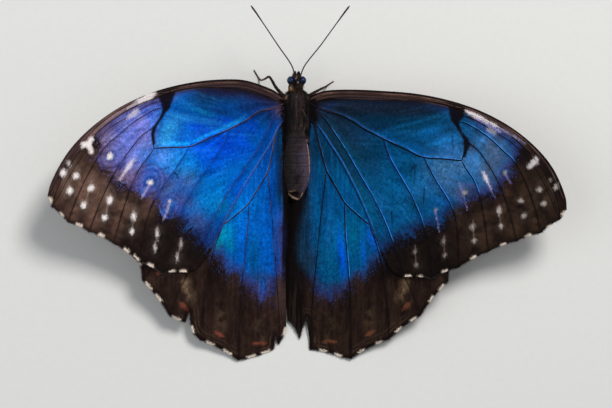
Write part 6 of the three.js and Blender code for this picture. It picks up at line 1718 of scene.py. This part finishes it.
def coat(skin, name, take, per_mm2, length, width, lift, seed, replaces, material, tone=1.0, curl_in=0.1, keep=None):
    """Tufts over the faces that take() picks, rooted in the skin."""
    rng = np.random.default_rng(seed)
    F, P, N = skin["F"], skin["P"], skin["N"]
    ok = take(skin["A"][F].mean(1), skin["which"][F].max(1), skin["at"][F].mean(1), P[F].mean(1), unit(N[F].mean(1)))
    w = skin["area"] * ok
    n = int(min(per_mm2 * w.sum(), 19400))
    f = rng.choice(len(F), n, p=w / w.sum())
    b = rng.dirichlet((1, 1, 1), n)
    root = np.einsum("nk,nkd->nd", b, P[F[f]])
    nor = unit(np.einsum("nk,nkd->nd", b, N[F[f]]))
    uv = np.einsum("nk,nkd->nd", b, skin["uv"][f])
    A = np.einsum("nk,nkd->nd", b, skin["A"][F[f]])
    which = skin["which"][F[f]].max(1)
    at = np.einsum("nk,nk->n", b, skin["at"][F[f]])
    col = skin_colour(root, nor, which, at, A)
    lie = lie_of(root, nor, which, at, A, rng)
    L = length(A, which, at, nor, rng) if callable(length) else rng.uniform(*length, n)
    W = rng.uniform(*width, n)
    e = lift(A, which, at, nor, rng) if callable(lift) else rng.normal(lift, lift * 0.35, n)
    way = lie * np.cos(e)[:, None] + nor * np.sin(e)[:, None]
    k = rng.uniform(0.62, 1.3, (n, 1)) * tone
    tone2 = mix(np.ones((n, 3)), np.array([1.12, 1.0, 0.9]), rng.uniform(0, 1, n))
    root_c, tip_c = col * k * 0.6 * tone2, col * k * 1.35 * tone2 + 0.004
    # stay off the floor
    tipz = root[:, 2] + way[:, 2] * L
    L = np.where(tipz < 0.03, L * 0.25, L)
    good = root[:, 2] > 0.05
    good &= keep(root + way * L[:, None]) if keep else True
    sel = np.where(good)[0]
    return tufts(name, root[sel], way[sel], L[sel], W[sel], root_c[sel], tip_c[sel], uv[sel], material, replaces, (-nor * curl_in)[sel], seed + 1, 0.5, nor[sel])


def build_eyes():
    s = Shader("eye_glass", IOR=1.5, Coat_Weight=0.12, Coat_Roughness=0.06, Coat_IOR=1.5)
    s.bsdf.inputs["Specular IOR Level"].default_value = 0.14
    facets = s.node("ShaderNodeTexVoronoi", feature="F1")
    s.put(facets.inputs["Vector"], s.coords())
    facets.inputs["Scale"].default_value = 1000 / 0.06
    base = s.attr("tint", True)
    base = s.mix(s.ramp(facets.outputs["Distance"], 0.25, 0.6, 0.0, 0.65), base, s.mix(1.0, base, (0.25, 0.25, 0.3, 1), "MULTIPLY"))
    base = s.mix(s.ramp(s.noise(0.5, 2, 0.5), 0.5, 0.65, 0.0, 0.35), base, (0.012, 0.01, 0.03, 1))
    s.set("Base Color", base)
    s.set("Metallic", 0.15)
    s.set("Roughness", s.math("MULTIPLY_ADD", facets.outputs["Distance"], 0.3, 0.16))
    s.bump(s.math("MULTIPLY", facets.outputs["Distance"], -1.0), 0.35, 0.012)
    n, m = 96, 64
    th, ph = np.meshgrid(np.arange(n) * 2 * math.pi / n, np.linspace(0.012, math.pi - 0.012, m), indexing="xy")
    for side in (1, -1):
        d = np.stack([np.sin(ph) * np.cos(th), np.cos(ph), np.sin(ph) * np.sin(th)], -1)
        A = EYE_AT * [side, 1, 1] + d * EYE_R * 0.985
        V = place(A.reshape(-1, 3))
        dd = d.reshape(-1, 3) * [side, 1, 1]
        c = mix(lin(2, 34, 62), lin(3, 14, 58), smooth(-0.2, 0.7, dd[:, 1]))
        # teal and violet patches: painted reflection on the glossy eye
        c = mix(c, lin(4, 72, 98), 0.85 * np.exp(-((dd[:, 0] - 0.6) ** 2 + (dd[:, 1] - 0.15) ** 2) / 0.16))
        c = mix(c, lin(40, 30, 96), 0.65 * np.exp(-((dd[:, 0] + 0.15) ** 2 + (dd[:, 1] - 0.5) ** 2) / 0.14))
        c = mix(c, lin(4, 4, 7), smooth(-0.15, -0.6, dd[:, 1]))
        c = mix(c, lin(40, 26, 20), smooth(-0.3, -0.9, dd[:, 2]))
        i, j = np.meshgrid(np.arange(m - 1), np.arange(n), indexing="ij")
        j2 = (j + 1) % n
        Q = np.stack([i * n + j, (i + 1) * n + j, (i + 1) * n + j2, i * n + j2], -1).reshape(-1, 4)
        V = np.vstack([V, place(EYE_AT * [side, 1, 1] + np.array([[0, 1, 0], [0, -1, 0]]) * EYE_R * 0.985)])
        s_ = np.arange(n)
        T = np.vstack([np.stack([s_, (s_ + 1) % n, np.full(n, m * n)], -1), np.stack([(m - 1) * n + (s_ + 1) % n, (m - 1) * n + s_, np.full(n, m * n + 1)], -1)])
        # check which way the first quad looks
        a, b, cc = V[Q[5, 0]], V[Q[5, 1]], V[Q[5, 2]]
        if np.cross(b - a, cc - a) @ (a - place(EYE_AT * [side, 1, 1])) < 0:
            Q, T = Q[:, ::-1], T[:, ::-1]
        col = np.vstack([c, c[:1], c[-1:]])

        def corner(F):
            jj = (F % n).astype(float)
            cap = F >= m * n
            ii = np.where(cap, np.where(F == m * n, 0, m - 1), F // n).astype(float)
            wrap = (np.where(cap, 0, jj).max(1) == n - 1) & (np.where(cap, 9, jj).min(1) == 0)
            jj = np.where(wrap[:, None] & (jj == 0), n, jj)
            jj = np.where(cap, np.take_along_axis(jj, np.argmin(cap, 1)[:, None], 1), jj)
            return np.stack([0.01 + 0.98 * jj / n, 0.01 + 0.98 * ii / (m - 1)], -1).reshape(-1, 2)
        nm = "eye_right" if side > 0 else "eye_left"
        make(nm + "_globe", V, Q, T, [s.mat], None, np.concatenate([corner(Q), corner(T)]), {"tint": col}, (nm,))


def ringed(path, r, every, depth, t0=0.0):
    s = np.concatenate([[0], np.cumsum(np.linalg.norm(np.diff(path, axis=0), axis=1))])
    return r * (1 + depth * (np.abs(np.sin(math.pi * s / every)) ** 0.6 - 0.6)), s


def build_feelers():
    s = Shader("feeler", IOR=1.5)
    s.bsdf.inputs["Specular IOR Level"].default_value = 0.25
    fine = s.noise(0.12, 3, 0.6)
    base = s.attr("tint", True)
    base = s.mix(s.ramp(fine, 0.45, 0.7, 0.0, 0.55), base, s.mix(1.0, base, (2.0, 1.8, 1.6, 1), "MULTIPLY"))
    s.set("Base Color", base)
    s.set("Roughness", s.math("MULTIPLY_ADD", fine, 0.3, 0.32))
    s.bump(fine, 0.4, 0.02)
    for side in (1, -1):
        path = spline(place(np.array(ANTENNA) * [side, 1, 1]), 700)
        t = np.linspace(0, 1, 701)
        r = np.interp(t, [0, 0.02, 0.05, 0.75, 0.9, 0.97, 1.0], [0.21, 0.2, 0.15, 0.13, 0.2, 0.22, 0.09])
        r, arc = ringed(path, r, 0.42, 0.22)
        V, Q, T = tube(path, r, 14)
        joint = np.abs(np.sin(math.pi * arc / 0.42))
        c = mix(lin(78, 62, 52), lin(24, 18, 17), smooth(0.15, 0.5, joint))
        c = mix(c, lin(66, 38, 24), 0.7 * smooth(0.9, 0.99, t))
        col = np.vstack([np.repeat(c, 14, axis=0), c[:1], c[-1:]])
        nm = "antenna_" + ("right" if side > 0 else "left")
        make(nm + "_stalk", V, Q, T, [s.mat], None, tube_uv(701, 14, Q, T, 0, 1), {"tint": col}, (nm,))
    k = np.linspace(0, 1, 300)
    a = math.pi / 2 - 2 * math.pi * 1.3 * k
    rr = 0.92 + (0.34 - 0.92) * k ** 0.8
    path = place(np.stack([0 * k, 4.75 + rr * np.cos(a), -2.42 + rr * np.sin(a)], -1))
    r, arc = ringed(path, np.interp(k, [0, 0.85, 1], [0.22, 0.19, 0.12]), 0.16, 0.12)
    V, Q, T = tube(path, r, 16, up=(1, 0, 0))
    c = mix(lin(120, 82, 50), lin(58, 36, 26), smooth(0.3, 0.9, np.abs(np.sin(math.pi * arc / 0.16))))
    make("proboscis_coil", V, Q, T, [s.mat], None, tube_uv(300, 16, Q, T, 0, 1), {"tint": np.vstack([np.repeat(c, 16, axis=0), c[:1], c[-1:]])}, ("proboscis",))
    # claws: a curved pair on each walking foot
    Vs, Qs, Ts, UV1, UV2, C, base_i = [], [], [], [], [], [], 0
    feet = [l for l in LIMBS if "midleg" in l[0] or "hindleg" in l[0]]
    for f, (nm, path, r) in enumerate(feet):
        end, d = path[-1], unit(path[-1] - path[-4])
        lat = unit(np.cross(d, np.array([0, 0, 1.0])))
        for g, sg in enumerate((1, -1)):
            tt = np.linspace(0, 1, 9)[:, None]
            p = end - d * 0.06 + lat * sg * (0.06 + 0.16 * tt) + d * (0.34 * tt) + np.array([0, 0, 1.0]) * (0.02 + 0.07 * np.sin(math.pi * tt) - 0.1 * tt)
            V, Q, T = tube(p, np.interp(tt[:, 0], [0, 1], [0.05, 0.012]), 8)
            c = tube_uv(9, 8, Q, T, f * 2 + g, 8)
            UV1.append(c[:len(Q) * 4])
            UV2.append(c[len(Q) * 4:])
            Vs.append(V)
            Qs.append(Q + base_i)
            Ts.append(T + base_i)
            base_i += len(V)
            C.append(np.broadcast_to(lin(52, 34, 26), (len(V), 3)))
    make("claws", np.vstack(Vs), np.vstack(Qs), np.vstack(Ts), [s.mat], None, np.vstack(UV1 + UV2), {"tint": np.vstack(C)}, tuple(LEGS))


skin = build_skin()
fur = hair_material("fur", 0.66, 0.05)
BODY = ["head", "prothorax", "thorax", "abdomen"]


def clear_of_eyes(P):
    A = unplace(P)
    ok = np.ones(len(P), bool)
    for s in (1, -1):
        ok &= np.sum(((A - EYE_AT * [s, 1, 1]) / (EYE_R * 1.03)) ** 2, 1) > 1
    return ok


# the coat: long hair at the body's sides, painted dark partly as shade, shorter down the back, smallest on head and
# legs
coat(skin, "coat_sides", lambda A, w, t, P, N: (w < 0) & (A[:, 1] < 2.9) & (A[:, 1] > -9.5) & (np.abs(A[:, 0]) > 1.35) & (N[:, 2] < 0.5) & (N[:, 2] > -0.5) & (np.abs(N[:, 0]) > 0.3), 130,
     lambda A, w, t, N, r: r.uniform(1.1, 1.75, len(A)) * (0.55 + 0.45 * smooth(2.6, 1.4, A[:, 1])) * (0.55 + 0.45 * smooth(-9.5, -7.5, A[:, 1])), (0.05, 0.08),
     lambda A, w, t, N, r: np.abs(r.normal(0.55, 0.16, len(A))), 299, ("thorax", "prothorax", "abdomen"), fur, tone=0.42, curl_in=-0.05)
coat(skin, "coat_thorax_upper", lambda A, w, t, P, N: (w < 0) & (A[:, 1] < 2.75) & (A[:, 1] > -8.2) & (N[:, 2] > -0.15), 210,
     lambda A, w, t, N, r: r.uniform(0.75, 1.25, len(A)) * (0.6 + 0.4 * smooth(2.6, 1.2, A[:, 1])) * (1 + 0.25 * smooth(1.6, 2.4, np.abs(A[:, 0]))), (0.055, 0.085),
     lambda A, w, t, N, r: np.abs(r.normal(0.2, 0.1, len(A))), 301, ("thorax", "prothorax"), fur, keep=clear_of_eyes)
coat(skin, "coat_thorax_under", lambda A, w, t, P, N: (w < 0) & (A[:, 1] < 2.75) & (A[:, 1] > -8.2) & (N[:, 2] <= -0.1), 150,
     (0.7, 1.25), (0.06, 0.09), 0.28, 303, ("thorax", "prothorax"), fur)
coat(skin, "coat_abdomen_upper", lambda A, w, t, P, N: (w < 0) & (A[:, 1] <= -7.9) & (A[:, 1] > -23.3) & (N[:, 2] > -0.1), 150,
     lambda A, w, t, N, r: r.uniform(0.38, 0.62, len(A)) * (0.7 + 0.3 * smooth(-23, -21, A[:, 1])), (0.055, 0.085), 0.13, 305, ("abdomen",), fur, tone=0.8)
coat(skin, "coat_abdomen_under", lambda A, w, t, P, N: (w < 0) & (A[:, 1] <= -7.9) & (A[:, 1] > -23.4) & (N[:, 2] <= -0.05), 120,
     (0.35, 0.6), (0.06, 0.09), 0.14, 307, ("abdomen",), fur)
coat(skin, "coat_head", lambda A, w, t, P, N: ((w < 0) & (A[:, 1] >= 2.7)) | (w == 5) | (w == 7), 230,
     lambda A, w, t, N, r: r.uniform(0.22, 0.42, len(A)) * (1 + 0.5 * (w >= 0)), (0.035, 0.055),
     lambda A, w, t, N, r: np.abs(r.normal(0.55, 0.25, len(A))), 309, ("head", "palp_left", "palp_right"), fur, keep=clear_of_eyes)
coat(skin, "coat_legs", lambda A, w, t, P, N: (w >= 0) & (w != 5) & (w != 7), 90,
     lambda A, w, t, N, r: r.uniform(0.16, 0.3, len(A)) * (1 + 0.9 * smooth(0.45, 0.15, t) * (w < 4)), (0.03, 0.05),
     lambda A, w, t, N, r: np.abs(r.normal(0.3, 0.12, len(A))), 311, tuple(LEGS) + ("foreleg_left", "foreleg_right"), fur)
coat(skin, "coat_face", lambda A, w, t, P, N: (w < 0) & (A[:, 1] > 4.9) & (np.abs(A[:, 0]) < 1.0) & (N[:, 2] > -0.6), 170,
     (0.5, 0.95), (0.035, 0.055), 0.5, 313, ("head",), fur, tone=0.7, keep=clear_of_eyes)
coat(skin, "coat_collar", lambda A, w, t, P, N: (w < 0) & (A[:, 1] > 2.1) & (A[:, 1] < 3.7) & (N[:, 2] > -0.5) & (np.abs(N[:, 0]) > 0.25), 150,
     (0.5, 0.85), (0.04, 0.06), 0.75, 315, ("head", "prothorax"), fur, tone=0.9, keep=clear_of_eyes)
build_eyes()
build_feelers()


# -------------------------------------------------- floor, light and camera
def stage_all():
    me = bpy.data.meshes.new("floor")
    me.from_pydata([(-2, -2, 0), (2, -2, 0), (2, 2, 0), (-2, 2, 0)], [], [(0, 1, 2, 3)])
    floor = bpy.data.objects.new("floor", me)
    bpy.context.scene.collection.objects.link(floor)
    s = Shader("floor_card", Roughness=0.85)
    grain = s.noise(1.4, 4, 0.6)
    s.set("Base Color", s.mix(grain, (0.60, 0.60, 0.585, 1), (0.64, 0.64, 0.625, 1)))
    me.materials.append(s.mat)

    world = bpy.data.worlds.new("soft")
    bpy.context.scene.world = world
    world.use_nodes = True
    world.node_tree.nodes["Background"].inputs[0].default_value = (0.93, 0.96, 1.0, 1)
    world.node_tree.nodes["Background"].inputs[1].default_value = 0.34

    def light(name, at, aim, size, watts, colour=(1, 1, 1)):
        d = bpy.data.lights.new(name, "AREA")
        d.shape, d.size, d.energy, d.color = "DISK", size, watts, colour
        o = bpy.data.objects.new(name, d)
        bpy.context.scene.collection.objects.link(o)
        at, aim = Vector(at), Vector(aim)
        o.location = at
        o.rotation_euler = (aim - at).to_track_quat("-Z", "Y").to_euler()
    light("key", (-0.16, -0.34, 0.60), (0, 0, 0.005), 0.26, 4.3, (1.0, 0.98, 0.95))
    light("fill", (0.45, 0.05, 0.45), (0, 0, 0.005), 0.5, 1.1, (0.93, 0.96, 1.0))

    target = np.array([2.217, -24.557, 0.0])
    k, t = 9 * RAD, 4 * RAD
    c = np.array([-math.sin(k) * math.cos(t), math.sin(t), math.cos(k) * math.cos(t)])
    r = np.array([math.cos(k), 0, math.sin(k)])
    up = np.cross(c, r)
    at = place(target + 540 * c) * MM
    cols = [turn(x) for x in (r, up, c)]
    cam = bpy.data.cameras.new("camera")
    cam.lens, cam.sensor_width, cam.clip_start, cam.clip_end = 134.6, 36, 0.05, 5
    ob = bpy.data.objects.new("camera", cam)
    bpy.context.scene.collection.objects.link(ob)
    M = Matrix.Identity(4)
    for i in range(3):
        for j in range(3):
            M[j][i] = float(cols[i][j])
        M[i][3] = float(at[i])
    ob.matrix_world = M
    bpy.context.scene.camera = ob
    bpy.context.scene.view_settings.view_transform = "Standard"


stage_all()
